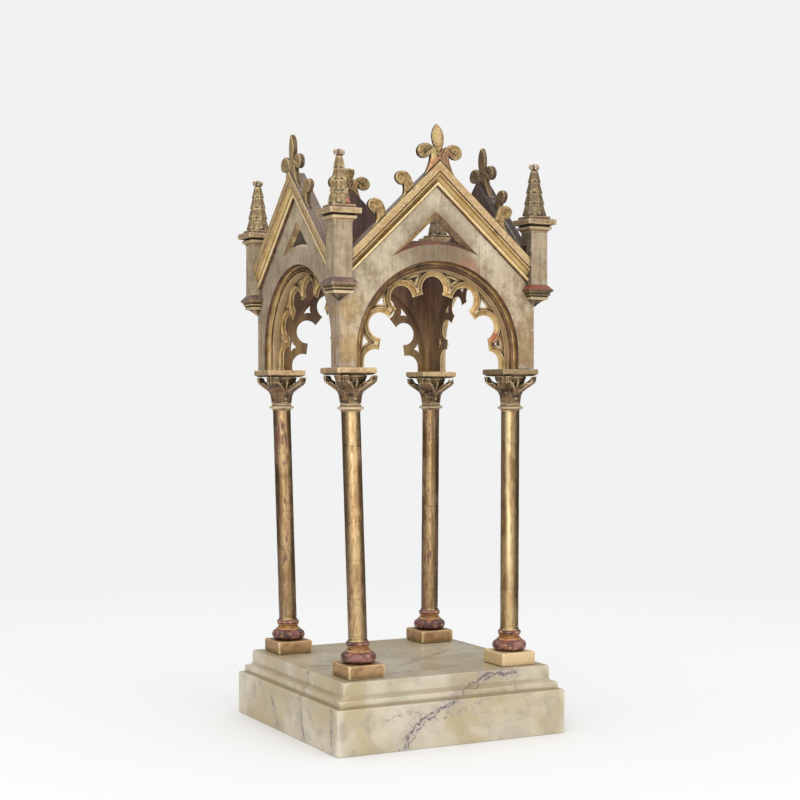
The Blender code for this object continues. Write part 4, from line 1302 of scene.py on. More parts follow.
def profile_curve(points):
    """A curve object through (radius, height) points; it is a guide, and is removed after use."""
    data = bpy.data.curves.new("profile", "CURVE")
    data.dimensions = "3D"
    spline = data.splines.new("POLY")
    spline.points.add(len(points) - 1)
    for target, (radius, height) in zip(spline.points, points):
        target.co = (radius, 0.0, height, 1.0)
    guide = bpy.data.objects.new("profile", data)
    scene.collection.objects.link(guide)
    return guide


def evened(points, spacing):
    """The same line with points no further apart than spacing."""
    dense = [points[0]]
    for start, end in zip(points, points[1:]):
        steps = max(1, math.ceil(math.dist(start, end) / spacing))
        for i in range(1, steps + 1):
            share = i / steps
            dense.append((start[0] + (end[0] - start[0]) * share, start[1] + (end[1] - start[1]) * share))
    return dense


print("a line of two points, evened:", evened([(0.0, 0.0), (1.0, 0.0)], 0.5))

# %% [markdown]
# From the foot up a column has a big torus, a hollow, a small ring, the plain shaft and, under its
# capital, a half-round astragal. Feet stand square on their blocks, while heads have moved a little.


# %% The column's profile
SHAFT = 0.0191
ASTRAGAL = 0.0272
TORUS_TOP = 0.0226
RING_BOTTOM = 0.0345
RING_TOP = 0.0420
ASTRAGAL_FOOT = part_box("column_front_left")[1].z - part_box("column_front_left")[0].z - 0.0135
FOOT_SPACING = (0.1735, 0.1745)
HEAD_X = {-1: -0.1905, 1: 0.1770}
HEAD_Y = 0.1735
POINTS_AROUND = 57
COLUMN_FINISHES = [shaft_gilding, foot_bole, foot_gilding, trim_gilding]


def column_profile(top):
    """From the axis at the foot, over torus, scotia, ring, shaft and astragal, to the axis at the head."""
    return [
        (0.0, 0.0),
        (0.0240, 0.0),
        *arc((0.0247, 0.0110), (0.0108, 0.0106), -80, 78, 12),
        (0.0262, 0.0222),
        (0.0262, 0.0244),
        *arc((0.0262, 0.0295), (0.0052, 0.0050), 270, 120, 6),
        *arc((0.0202, 0.0382), (0.0044, 0.0033), -70, 80, 7),
        *arc((0.0240, 0.0470), (0.0052, 0.0052), 250, 180, 4),
        (SHAFT, 0.0500),
        (SHAFT, top - 0.0150),
        (SHAFT + 0.0010, top - 0.0128),
        (SHAFT + 0.0050, top - 0.0110),
        *arc((ASTRAGAL - 0.0020, top - 0.0083), (0.0020, 0.0022), -60, 60, 4),
        (SHAFT + 0.0040, top - 0.0052),
        (SHAFT + 0.0016, top - 0.0038),
        (SHAFT + 0.0018, top),
        (0.0, top),
    ]


def turned_finish(height):
    """The torus and the small ring are rubbed to the bole; the hollow between them keeps its gold."""
    if height < TORUS_TOP or RING_BOTTOM < height < RING_TOP:
        return 1
    if height > ASTRAGAL_FOOT:
        return 3
    return 2 if height < RING_BOTTOM else 0


print("points in a column's profile:", len(column_profile(0.6)))

# %% Make the columns
columns = []
for tag, (x_sign, y_sign) in CORNERS.items():
    low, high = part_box(f"column_{tag}")
    foot = (x_sign * FOOT_SPACING[0], y_sign * FOOT_SPACING[1])
    rise = high.z - low.z
    lean = ((HEAD_X[x_sign] - foot[0]) / rise, (y_sign * HEAD_Y - foot[1]) / rise)
    line = evened(column_profile(rise), 0.0150)
    guide = profile_curve(line)
    bm = run_tree(lathe, {"Profile": guide, "Points around": POINTS_AROUND, "Points along": 3 * len(line),
                          "Lean X": lean[0], "Lean Y": lean[1]})
    bpy.data.objects.remove(guide)
    for face in bm.faces:
        face.material_index = turned_finish(face.calc_center_median().z)
    place = Matrix.Translation((foot[0], foot[1], low.z))
    columns.append(add_piece(f"turned_column_{tag}", bm, COLUMN_FINISHES, [f"column_{tag}"], place,
                             gain=5.0))
report("columns", columns)

# %% [markdown]
# ## Carving from a formula
#
# Leaves, scrolls and curls have no flat faces, so they are carved here as a carver does it, by saying what
# is wood and what is air. A field gives each point of a small grid a number, below zero in the wood. The
# surface runs where the number changes sign. A surface net finds it: each grid cell that the surface
# crosses gets one point, in the middle of the crossings on its edges, and each crossed edge joins the four
# points around it. Fields are easy to join, hollow and soften, and the result is always a closed skin.


# %% The surface net
def surface_net(field, low, high, cell):
    """Points and four-sided faces of the skin where a field is zero."""
    axes = [np.arange(a - 2 * cell, b + 3 * cell, cell) for a, b in zip(low, high)]
    x, y, z = np.meshgrid(*axes, indexing="ij", sparse=True)
    value = field(x, y, z) + 0.0 * (x + y + z)
    inside = value < 0
    cells = tuple(size - 1 for size in value.shape)
    owners, spots, quads = [], [], []
    for axis in range(3):
        near = [slice(None)] * 3
        far = [slice(None)] * 3
        near[axis] = slice(None, -1)
        far[axis] = slice(1, None)
        index = np.argwhere(inside[tuple(near)] != inside[tuple(far)])
        start = value[tuple(near)][tuple(index.T)]
        end = value[tuple(far)][tuple(index.T)]
        spot = index.astype(float)
        spot[:, axis] += start / (start - end)
        around = []
        for first, second in ((-1, -1), (0, -1), (0, 0), (-1, 0)):
            cell_index = index.copy()
            cell_index[:, (axis + 1) % 3] += first
            cell_index[:, (axis + 2) % 3] += second
            around.append(np.ravel_multi_index(tuple(cell_index.T), cells))
            owners.append(around[-1])
            spots.append(spot)
        quad = np.stack(around, axis=1)
        quad[start > 0] = quad[start > 0][:, ::-1]
        quads.append(quad)
    used, compact = np.unique(np.concatenate(owners), return_inverse=True)
    spots = np.concatenate(spots)
    share = np.bincount(compact)
    points = np.stack([np.bincount(compact, spots[:, k]) / share for k in range(3)], axis=1)
    origin = np.array([axis[0] for axis in axes])
    return points * cell + origin, np.searchsorted(used, np.concatenate(quads))


def carved(field, low, high, cell):
    """A bmesh of the field's skin."""
    points, quads = surface_net(field, low, high, cell)
    mesh = bpy.data.meshes.new("carving")
    mesh.from_pydata(points.tolist(), [], quads.tolist())
    bm = bmesh.new()
    bm.from_mesh(mesh)
    bpy.data.meshes.remove(mesh)
    return bm


coarse_ball = surface_net(lambda x, y, z: np.sqrt(x**2 + y**2 + z**2) - 1.0, (-1, -1, -1), (1, 1, 1), 0.5)
print("points on a coarse ball:", len(coarse_ball[0]))

# %% [markdown]
# Fields are joined, cut and softened like clay: the lesser of two is their union, and a blend where they
# are nearly equal leaves a small fillet, as a gouge does.


# %% Joining and cutting fields
def union(a, b, soft):
    """The lesser of two fields, blended where they are within soft of each other."""
    share = np.clip(0.5 + 0.5 * (b - a) / soft, 0.0, 1.0)
    return b * (1 - share) + a * share - soft * share * (1 - share)


def common(a, b, soft):
    return -union(-a, -b, soft)


def ball(x, y, z, centre, radius):
    return np.sqrt((x - centre[0]) ** 2 + (y - centre[1]) ** 2 + (z - centre[2]) ** 2) - radius


def disc(u, v, centre, radius):
    return np.sqrt((u - centre[0]) ** 2 + (v - centre[1]) ** 2) - radius


def bar(u, v, start, end, radius):
    """Distance in a plane from a straight bar with round ends."""
    along = (end[0] - start[0], end[1] - start[1])
    length = along[0] ** 2 + along[1] ** 2
    share = np.clip(((u - start[0]) * along[0] + (v - start[1]) * along[1]) / length, 0.0, 1.0)
    return np.sqrt((u - start[0] - share * along[0]) ** 2 + (v - start[1] - share * along[1]) ** 2) - radius


def outline_distance(u, v, loop):
    """Distance in a plane from a closed outline, below zero inside it."""
    nearest = np.full(np.broadcast(u, v).shape, 1e9)
    inside = np.zeros(nearest.shape, dtype=bool)
    for (u0, v0), (u1, v1) in zip(loop, loop[1:] + loop[:1]):
        nearest = np.minimum(nearest, bar(u, v, (u0, v0), (u1, v1), 0.0))
        crosses = (v0 > v) != (v1 > v)
        if v1 != v0:
            inside ^= crosses & (u < (u1 - u0) * (v - v0) / (v1 - v0) + u0)
    return np.where(inside, -nearest, nearest)


def groove(distance, depth, width):
    """How deep a rounded tool has cut, by the distance from its path."""
    return depth * np.exp(-((distance / width) ** 2))


CELL = 0.0011
print("carving cell:", CELL)

# %% [markdown]
# ## Leaf capitals
#
# A capital swells from the column's neck to the abacus. Here it is a bell with a broad leaf at each corner,
# cupped at the tip and curling clear of the abacus, and between the leaves a stem with a berry at its
# foot. All four quarters are alike, so the field folds its coordinates into one quarter and one leaf is
# described once. On one capital a leaf tip has been knocked off.

# %% Make the capitals
capital_low, capital_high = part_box("capital_front_left")
CAPITAL_RISE = capital_high.z - capital_low.z
CAPITAL_ROOM = 0.0460
BROKEN_CAPITAL = "back_right"
BROAD_LEAF_HALF = 0.0172
SILHOUETTE_HEIGHTS = (0.0, 0.0075, 0.0170, 0.0243, 0.0300, 0.0354, 0.0400, 0.0444, 0.0560)
SILHOUETTE_REACHES = (0.0198, 0.0201, 0.0218, 0.0254, 0.0332, 0.0414, 0.0482, 0.0527, 0.0550)
BELL_HEIGHTS = (0.0, 0.022, 0.038, 0.049, 0.0560)
BELL_REACHES = (0.0190, 0.0205, 0.0252, 0.0310, 0.0322)


def capital_field(broken):
    def field(x, y, z):
        radius = np.sqrt(x**2 + y**2)
        bell = (radius - np.interp(z, BELL_HEIGHTS, BELL_REACHES)) * 0.9
        bell = np.maximum(bell, np.maximum(-z, z - CAPITAL_RISE))
        lip = np.sqrt((radius - 0.0305) ** 2 + (z - CAPITAL_RISE + 0.0022) ** 2) - 0.0022
        bell = union(bell, lip, 0.0015)
        out = (np.abs(x) + np.abs(y)) / math.sqrt(2)
        across = np.abs(np.abs(x) - np.abs(y)) / math.sqrt(2)
        tip = np.clip((out - 0.0270) / 0.0296, 0.0, 1.0)
        width = BROAD_LEAF_HALF * np.clip(1.0 - tip**4, 0.0, 1.0) ** 0.5
        cup = (across / BROAD_LEAF_HALF) ** 2
        under = np.interp(z, SILHOUETTE_HEIGHTS, SILHOUETTE_REACHES) - 0.0030 * cup
        over_line = 0.0388 + (out - 0.0322) * 0.86 + 0.0045 * cup
        leaf = common((out - under) * 0.62, (z - over_line) * 0.75, 0.0012)
        leaf = common(leaf, across - width, 0.0020)
        leaf = leaf + groove(across, 0.0012, 0.0016) - 0.00016 * np.cos(across * 1400.0)
        bite = np.sqrt(((out - 0.0400) / 1.3) ** 2 + (across - 0.0150) ** 2 + (z - 0.0480) ** 2) - 0.0052
        leaf = common(np.maximum(leaf, -z), -bite, 0.0010)
        rise = np.clip(z / 0.044, 0.0, 1.0)
        near_side = np.minimum(np.abs(x), np.abs(y))
        far_side = np.maximum(np.abs(x), np.abs(y))
        stem_reach = 0.0205 + 0.0100 * rise**2
        stem = np.sqrt(near_side**2 + (far_side - stem_reach + 0.0010) ** 2) - 0.0034
        stem = np.maximum(stem, np.maximum(0.016 - z, z - 0.0505))
        berry = np.sqrt(near_side**2 + (far_side - 0.0202) ** 2 + (z - 0.0105) ** 2) - 0.0046
        hook = np.sqrt((near_side - 0.0085) ** 2 + (far_side - 0.0262) ** 2 + (z - 0.0360) ** 2) - 0.0036
        body = union(union(union(bell, leaf, 0.0016), stem, 0.0016), union(berry, hook, 0.0005), 0.0010)
        if broken:
            bite = ball(x, y, z, (0.0440, -0.0440, 0.0560), 0.0185)
            body = common(body, -bite, 0.0008)
        return np.maximum(body, z - CAPITAL_RISE)

    return field


capitals = []
for tag, (x_sign, y_sign) in CORNERS.items():
    field = capital_field(tag == BROKEN_CAPITAL)
    low = (-CAPITAL_ROOM, -CAPITAL_ROOM, 0.0)
    bm = carved(field, low, (CAPITAL_ROOM, CAPITAL_ROOM, CAPITAL_RISE), CELL)
    place = Matrix.Translation((HEAD_X[x_sign], y_sign * HEAD_Y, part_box(f"capital_{tag}")[0].z))
    capitals.append(add_piece(f"leaf_capital_{tag}", bm, [capital_gilding], [f"capital_{tag}"], place,
                              0.0004, 60.0, 5.0))
report("capitals", capitals)

# %% [markdown]
# ## The four sides of the canopy
#
# Every side is built in its own flat frame: u runs along the face to the right as seen from outside, depth
# runs inwards and z runs up. A matrix then turns the finished side to its place. The gables are of
# slightly different heights, because they were set out by hand.


# %% Measure the sides
STILE = 0.0380
CROWN = 0.9618
POST_HALF = 0.0198
CANOPY_X = (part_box("gable_panel_front")[0].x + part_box("gable_panel_front")[1].x) / 2
HALF_SIZES = {"main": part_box("gable_panel_front")[1].x - CANOPY_X, "side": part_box("gable_panel_back")[1].y}
LEANING_POINTS = {"front": -0.0080}
RAKE_FEET = {"front": 0.9750}
PLAIN_RAKE_FOOT = 0.9720


class Side:
    """The sizes of one side of the canopy and the way to its place."""

    def __init__(self, tag):
        main = tag in ("front", "back")
        self.tag = tag
        self.main = main
        self.half = HALF_SIZES["main" if main else "side"]
        self.offset = HALF_SIZES["side" if main else "main"]
        self.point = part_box(f"gable_panel_{tag}")[1].z
        self.foot = RAKE_FEET.get(tag, PLAIN_RAKE_FOOT)
        self.shift = LEANING_POINTS.get(tag, 0.0)
        self.radius = self.half - STILE
        self.spring = CROWN - self.radius
        self.stretch = math.hypot(1.0, (self.point - self.foot) / (self.half - POST_HALF))
        turn = Matrix.Rotation(QUARTERS[tag] * math.pi / 2, 4, "Z")
        self.matrix = Matrix.Translation((CANOPY_X, 0, 0)) @ turn @ Matrix.Translation((0, -self.offset, 0))

    def run(self, sign):
        return self.half - POST_HALF - sign * self.shift

    def height(self, u, drop=0.0):
        """The rake's upper edge at u, or a line that runs drop below it."""
        sign = 1 if u > self.shift else -1
        share = abs(u - self.shift) / self.run(sign)
        return self.point - drop - (self.point - self.foot) * share


def add_sides(title, make, name, solid, finishes, *wear, slot="gilded_wood"):
    """Makes one piece for each side of the canopy, in the place of that side's solid."""
    pieces = []
    for side in sides.values():
        pieces.append(add_piece(f"{name}_{side.tag}", make(side), finishes, [f"{solid}_{side.tag}"],
                                side.matrix, *wear, slot=slot))
    report(title, pieces)


sides = {tag: Side(tag) for tag in QUARTERS}
for side in sides.values():
    print(f"{side.tag}: half {side.half:.4f}, offset {side.offset:.4f}, point {side.point:.4f}")

# %% [markdown]
# ## Face boards
#
# The outer skin of each side is a thin board with an arched head and a pointed gable. A torus moulding runs
# round the arch, with a quirk along its outer edge that is darkened as a painted shadow line. Above it is a
# triangle: a true opening in the main and back gables, and a blind recess in the other two, whose floor is
# painted shade. The board is made from flat fills and the walls between them, then sliced into a grid, so
# that unevenness and wear have points to work on.


# %% The board builder
class Board:
    """An upright board of flat fills at one depth and walls between two depths."""

    def __init__(self):
        self.bm = bmesh.new()

    def fill(self, loops, depth, finish=0):
        """A flat face at one depth: the first loop bounds it and the others pierce it."""
        edges = []
        for loop in loops:
            verts = [self.bm.verts.new((u, depth, z)) for u, z in loop]
            for i, vert in enumerate(verts):
                edges.append(self.bm.edges.new((vert, verts[(i + 1) % len(verts)])))
        made = bmesh.ops.triangle_fill(self.bm, use_beauty=True, use_dissolve=False, edges=edges)
        for face in made["geom"]:
            if isinstance(face, bmesh.types.BMFace):
                face.material_index = finish

    def wall(self, path, other, depth, other_depth, closed=False, finish=0, finishes=None):
        """Four-sided faces between two paths with equally many points."""
        near = [self.bm.verts.new((u, depth, z)) for u, z in path]
        far = [self.bm.verts.new((u, other_depth, z)) for u, z in other]
        for i in range(len(path) - (not closed)):
            j = (i + 1) % len(path)
            face = self.bm.faces.new((near[i], near[j], far[j], far[i]))
            face.material_index = finishes[i] if finishes else finish

    def foot(self, corners, z):
        """The flat underside of one leg, from (u, depth) corners."""
        self.bm.faces.new([self.bm.verts.new((u, depth, z)) for u, depth in corners])

    def sliced(self, spacing):
        """The finished mesh, cut by level and upright planes."""
        bmesh.ops.remove_doubles(self.bm, verts=self.bm.verts, dist=1e-6)
        for axis in (0, 2):
            reach = [vert.co[axis] for vert in self.bm.verts]
            normal = (1.0, 0.0, 0.0) if axis == 0 else (0.0, 0.0, 1.0)
            steps = int((max(reach) - min(reach)) / spacing)
            for i in range(1, steps):
                spot = [0.0, 0.0, 0.0]
                spot[axis] = min(reach) + (max(reach) - min(reach)) * i / steps
                geometry = self.bm.verts[:] + self.bm.edges[:] + self.bm.faces[:]
                bmesh.ops.bisect_plane(self.bm, geom=geometry, dist=1e-5, plane_co=spot, plane_no=normal)
        return self.bm


ARCH_STEPS = 64
SLICE = 0.008


def arch_path(radius, spring, foot):
    """A stilted round arch from its left foot over the crown to its right foot."""
    curve = arc((0.0, spring), (radius, radius), 180, 0, ARCH_STEPS)
    return [(-radius, foot), *curve, (radius, foot)]


print("slicing distance:", SLICE)

# %% [markdown]
# The triangle's lower side follows the back of the arch, and its other two run beside the rakes. Its two
# lower corners are where those lines meet, found by halving a span until it closes.

# %% The triangle over the arch
BOARD = 0.0120
TRACERY_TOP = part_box("tracery_front")[1].z
BLIND_BACK = 0.0186
RECESS = 0.0090
MOUTH_BAND = 0.0729
BACK_BAND = 0.0330
MOUTH_BEVEL = 0.0100
EDGE_EASE = 0.0010
ARCH_TORUS = [
    (0.0000, 0.0000),
    (0.0005, 0.0012),
    (0.0010, 0.0024),
    (0.0020, 0.0022),
    (0.0024, 0.0050),
    *arc((0.0075, 0.0070), (0.0050, 0.0052), 170, 10, 9),
    (0.0127, 0.0100),
    (0.0124, 0.0118),
]
TORUS_QUIRKS = 4
BOARD_FINISHES = [face_paint, arch_gilding, bevel_gold, inner_stain, edge_dust, bevel_clay, recess_floor,
                  shadow_line_bole]
PAINT, ARCH, BEVEL, INNER, TOP_EDGE, CLAY, FLOOR, QUIRK = range(8)


def mouth_loop(side, bevel):
    """The triangle over the arch: two sides beside the rakes, and the arch's back below."""
    drop = (MOUTH_BAND + bevel) * side.stretch
    back = side.radius + BACK_BAND + 0.8 * bevel
    ends = []
    for sign in (1, -1):
        low, high = 0.0, back
        for _ in range(40):
            middle = (low + high) / 2
            on_arch = side.spring + math.sqrt(back**2 - middle**2)
            if side.height(sign * middle, drop) > on_arch:
                low = middle
            else:
                high = middle
        ends.append(math.degrees(math.atan2(math.sqrt(back**2 - low**2), sign * low)))
    point = (side.shift, side.height(side.shift, drop))
    return [point, *arc((0.0, side.spring), (back, back), ends[0], ends[1], 28)]


print("points round the front triangle:", len(mouth_loop(sides["front"], 0.0)))


# %% Make the face boards
def face_board(side):
    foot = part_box(f"gable_panel_{side.tag}")[0].z
    span = side.half if side.main else side.half - BOARD - GAP
    ledge = TRACERY_TOP + GAP
    blind = not side.main
    reach = (side.half - POST_HALF) * (side.point - ledge) / (side.point - side.foot)
    upper = [(reach, ledge), (side.shift, side.point), (-reach, ledge)]

    def outline(ease):
        right = [(span - ease, foot), (span - ease, side.height(span))]
        left = [(-span + ease, side.height(-span)), (-span + ease, foot)]
        return [*right, *(upper if blind else upper[1:2]), *left]

    arches = [(arch_path(side.radius - inset, side.spring, foot), depth) for inset, depth in ARCH_TORUS]
    arches.append((arches[-1][0], BOARD))
    mouth = mouth_loop(side, 0.0)
    throat = mouth_loop(side, MOUTH_BEVEL)
    lower_bevel = PAINT if blind else CLAY
    bevels = [BEVEL] + [lower_bevel] * (len(mouth) - 2) + [BEVEL]
    board = Board()
    board.fill((outline(EDGE_EASE) + arches[0][0], mouth), 0.0)
    board.wall(outline(EDGE_EASE), outline(0.0), 0.0, EDGE_EASE)
    slopes = [PAINT] + [TOP_EDGE] * (len(outline(0.0)) - 3) + [PAINT]
    board.wall(outline(0.0), outline(0.0), EDGE_EASE, BOARD, finishes=slopes)
    board.wall(mouth, throat, 0.0, RECESS, closed=True, finishes=bevels)
    for i, ((path, depth), (other, other_depth)) in enumerate(zip(arches, arches[1:])):
        # the quirk walls take dark bole as a painted shadow line
        board.wall(path, other, depth, other_depth, finish=QUIRK if i < TORUS_QUIRKS else ARCH)
    if blind:
        # the blind triangle's floor takes the painted shade
        board.fill((throat,), RECESS, FLOOR)
        whole = outline(0.0)
        board.fill(([*whole[:3], *whole[4:], *arches[-1][0]],), BOARD, INNER)
        board.wall(upper, upper, BOARD, BLIND_BACK, closed=True, finish=TOP_EDGE)
        board.fill((upper,), BLIND_BACK, INNER)
    else:
        board.wall(throat, throat, RECESS, BOARD, closed=True, finish=INNER)
        board.fill((outline(0.0) + arches[-1][0], throat), BOARD, INNER)
    for sign in (-1, 1):
        inner = [(sign * (side.radius - inset), depth) for inset, depth in ARCH_TORUS]
        inner.append((inner[-1][0], BOARD))
        rim = [(sign * span, BOARD), (sign * span, EDGE_EASE), (sign * (span - EDGE_EASE), 0.0)]
        board.foot(rim + inner, foot)
    return board.sliced(SLICE)


add_sides("face boards", face_board, "face_board", "gable_panel", BOARD_FINISHES, 0.0004,
          slot="painted_wood")

# %% [markdown]
# ## Cusped tracery
#
# Behind each face board a second, thicker board is cut to a ring of foils. The points where two foils meet
# are the cusps. The foils' edges are hollowed like a gouge mark, which catches the light as a bright line,
# and small curved triangles pierce the spandrels. One cusp of the main arch has broken off short.

# %% Foils and spandrels
TRACERY_BOARD = 0.0280
REVEAL_INSET = 0.0160
REVEAL_DEPTH = 0.0120
REBATE = 0.0090
FOIL_INSET = 0.0535
FOIL_RADIUS = 0.0248
CUSP_INSET = 0.0635
BROKEN_INSET = 0.0520
BROKEN_CUSPS = {"front": (2.5,)}
FOIL_PITCH = math.radians(32.7)
FOIL_STEPS = 20
HOLLOW_WIDTH = 0.0092
HOLLOW_DEPTH = 0.0052
HOLLOW = [(HOLLOW_WIDTH + 0.0006, 0.0)]
HOLLOW += [(HOLLOW_WIDTH * math.cos(a), 0.0003 + HOLLOW_DEPTH * math.sin(a))
           for a in (0.0, 0.2, 0.45, 0.7, 0.95, 1.25, math.pi / 2)]
SPANDREL_INSET = 0.0198
SPANDREL_RIDGE = 0.0018
SPANDREL_STEPS = 8
PIERCED = 0.40
TRACERY_FINISHES = [tracery_gilding, hollow_gilding, inner_stain, shadow_line_bole, edge_dust, ring_gilding]
FLAT, FOIL, STAIN, SEAT_BOLE, OUTSIDE, RING = range(6)


def foil_path(side, foot, widen, broken):
    """The cusped edge from foot to foot: five foils, with a half foil at each end."""
    ring = side.radius - FOIL_INSET
    scale = ring / (HALF_SIZES["main"] - STILE - FOIL_INSET)
    foil = FOIL_RADIUS * scale + widen
    path = [(-ring * math.sin(3 * FOIL_PITCH) - foil, foot)]
    for k in range(-3, 4):
        centre = (ring * math.sin(k * FOIL_PITCH), side.spring + ring * math.cos(k * FOIL_PITCH))
        turns = []
        for sign in (-1, 1):
            inset = BROKEN_INSET if k + sign / 2 in broken else CUSP_INSET
            tip = ring - (inset - FOIL_INSET) * scale + 0.6 * widen
            reach = math.acos((tip**2 + ring**2 - foil**2) / (2 * tip * ring))
            tip_angle = k * FOIL_PITCH + sign * reach
            corner = (tip * math.sin(tip_angle), side.spring + tip * math.cos(tip_angle))
            turns.append(math.atan2(corner[1] - centre[1], corner[0] - centre[0]))
        outward = math.pi / 2 - k * FOIL_PITCH
        start = outward + (turns[0] - outward) % (2 * math.pi)
        end = outward - (outward - turns[1]) % (2 * math.pi)
        steps = FOIL_STEPS if abs(k) < 3 else FOIL_STEPS // 2
        start = math.pi if k == -3 else start
        end = 0.0 if k == 3 else end
        path += arc(centre, (foil, foil), math.degrees(start), math.degrees(end), steps)
    path.append((ring * math.sin(3 * FOIL_PITCH) + foil, foot))
    return path


def spandrel_loop(side, middle, scale):
    """The sunk triangle between two foils and the arch, or the same shape scaled about its centre."""
    ring = side.radius - FOIL_INSET
    foil = FOIL_RADIUS * ring / (HALF_SIZES["main"] - STILE - FOIL_INSET)
    foil += HOLLOW_WIDTH + SPANDREL_RIDGE
    outer = side.radius - SPANDREL_INSET
    sides = []
    for sign in (-1, 1):
        turn = middle + sign * FOIL_PITCH / 2
        reach = (outer**2 + ring**2 - foil**2) / (2 * outer * ring)
        reach = max(0.05, math.acos(min(1.0, reach)))
        start = turn - sign * reach
        centre = Vector((ring * math.sin(turn), ring * math.cos(turn)))
        corner = Vector((outer * math.sin(start), outer * math.cos(start))) - centre
        inward = Vector((math.sin(middle), math.cos(middle)))
        across = Vector((-sign * math.cos(middle), sign * math.sin(middle)))
        first = math.atan2(corner.dot(inward), corner.dot(across))
        last = math.radians(18)
        path = []
        for i in range(SPANDREL_STEPS + 1):
            angle = first + (last - first) * i / SPANDREL_STEPS
            path.append(centre + (across * math.cos(angle) + inward * math.sin(angle)) * foil)
        sides.append((start, path))
    top = [Vector((outer * math.sin(a), outer * math.cos(a)))
           for a in (sides[1][0] + (sides[0][0] - sides[1][0]) * i / 6 for i in range(1, 6))]
    whole = sides[0][1] + sides[1][1][::-1] + top
    middle_point = sum(whole, Vector((0.0, 0.0))) / len(whole)
    spots = [middle_point + (spot - middle_point) * scale for spot in whole]
    return [(spot.x, spot.y + side.spring) for spot in spots]


print("points round the front foils:", len(foil_path(sides["front"], 0.0, 0.0, ())))


# %% Make the tracery
def tracery_board(side):
    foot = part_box(f"tracery_{side.tag}")[0].z
    broken = BROKEN_CUSPS.get(side.tag, ())
    front = BOARD + GAP
    shelf = front + REVEAL_DEPTH
    back = front + TRACERY_BOARD
    rear = back - REBATE
    behind = side.half - front
    span = behind if side.main else behind - TRACERY_BOARD - GAP
    outline = [(span, foot), (span, TRACERY_TOP), (-span, TRACERY_TOP), (-span, foot)]
    reveal = arch_path(side.radius - REVEAL_INSET, side.spring, foot)
    edges = [(foil_path(side, foot, widen, broken), shelf + depth) for widen, depth in HOLLOW]
    edges.append((edges[-1][0], rear))
    middles = [(k + 0.5) * FOIL_PITCH for k in range(-3, 3)]
    taper = [(1.0, shelf), (0.95, shelf + 0.0026), (0.90, shelf + 0.0032), (0.44, shelf + 0.0036)]
    taper.append((PIERCED, rear))
    board = Board()
    sunk = [spandrel_loop(side, middle, 1.0) for middle in middles]
    pierced = [spandrel_loop(side, middle, PIERCED) for middle in middles]
    # the seat shows beside the arch as a painted shadow line of dark bole
    board.fill([outline + reveal], front, SEAT_BOLE)
    board.fill([reveal + edges[0][0][::-1], *sunk], shelf, RING)
    board.fill([reveal + edges[-1][0][::-1], *pierced], rear, STAIN)
    board.fill([outline + reveal], back, STAIN)
    board.wall(outline, outline, front, back, finish=OUTSIDE)
    board.wall(reveal, reveal, front, shelf, finish=RING)
    board.wall(reveal, reveal, rear, back, finish=STAIN)
    for (path, depth), (other, other_depth) in zip(edges, edges[1:]):
        board.wall(path, other, depth, other_depth, finish=FOIL)
    for middle in middles:
        for (scale, depth), (next_scale, next_depth) in zip(taper, taper[1:]):
            loops = (spandrel_loop(side, middle, scale), spandrel_loop(side, middle, next_scale))
            board.wall(*loops, depth, next_depth, closed=True, finish=FLAT)
    edge = side.radius - REVEAL_INSET
    for sign in (-1, 1):
        hollow = [(sign * abs(path[0][0]), depth) for path, depth in edges]
        section = [(sign * span, back), (sign * span, front), (sign * edge, front), (sign * edge, shelf)]
        board.foot([*section, *hollow, (sign * edge, rear), (sign * edge, back)], foot)
    return board.sliced(SLICE)


add_sides("tracery", tracery_board, "cusped_tracery", "tracery", TRACERY_FINISHES)

# %% [markdown]
# ## Rake mouldings
#
# The sloping edges of a gable are its rakes. A strip of moulding covers each one and mitres at the point:
# a flat band, a quirk, a fine fillet, a deep cove and a bead. It is water-gilded, so the cove glows and
# the fillet flashes, and the bead is given a paler gold as a painted highlight. The quirk and the lower edge
# show red bole darkened as a painted shadow line. One profile runs from foot to foot, upright at the mitre,
# and is kept a little uneven.

# %% Make the rake mouldings
RAKE_WIDTH = 0.0370
RAKE_STATIONS = 40
RAKE_PROFILE = [
    (0.0, -0.0003),
    (0.0, 0.0168),
    (0.0012, 0.0180),
    (0.0070, 0.0182),
    (0.0142, 0.0178),
    (0.0152, 0.0168),
    (0.0157, 0.0146),
    (0.0163, 0.0148),
    (0.0168, 0.0164),
    (0.0177, 0.0170),
    (0.0196, 0.0168),
    (0.0205, 0.0156),
    *arc((0.0300, 0.0154), (0.0094, 0.0098), 182, 262, 8),
    *arc((0.0322, 0.0062), (0.0036, 0.0044), 178, 0, 9),
    (0.0360, 0.0040),
    (RAKE_WIDTH, 0.0036),
    (RAKE_WIDTH, -0.0003),
]
RAKE_FINISHES = [edge_dust, band_gilding, shadow_line_bole, cove_gilding, bead_highlight_gilding]
# the quirk and the lower edge take dark bole as a painted shadow line, and the bead a painted highlight
RAKE_ZONES = ((0.0001, 0), (0.0153, 1), (0.0164, 2), (0.0206, 1), (0.0286, 3), (0.0359, 4), (0.0400, 2))


def rake_moulding(side):
    reach = side.half - POST_HALF - GAP
    places = [-reach + (side.shift + reach) * i / RAKE_STATIONS for i in range(RAKE_STATIONS)]
    places += [side.shift + (reach - side.shift) * i / RAKE_STATIONS for i in range(RAKE_STATIONS + 1)]
    rings = []
    for u in places:
        top = side.height(u)
        rings.append([(u, -proud, top - drop * side.stretch) for drop, proud in RAKE_PROFILE])
    drops = [(a[0] + b[0]) / 2 for a, b in zip(RAKE_PROFILE, RAKE_PROFILE[1:] + RAKE_PROFILE[:1])]
    return skinned(rings, [next(finish for limit, finish in RAKE_ZONES if drop < limit) for drop in drops])


add_sides("rake mouldings", rake_moulding, "gilt_rake", "rake_moulding", RAKE_FINISHES, 0.0005, 35.0, 2.0)

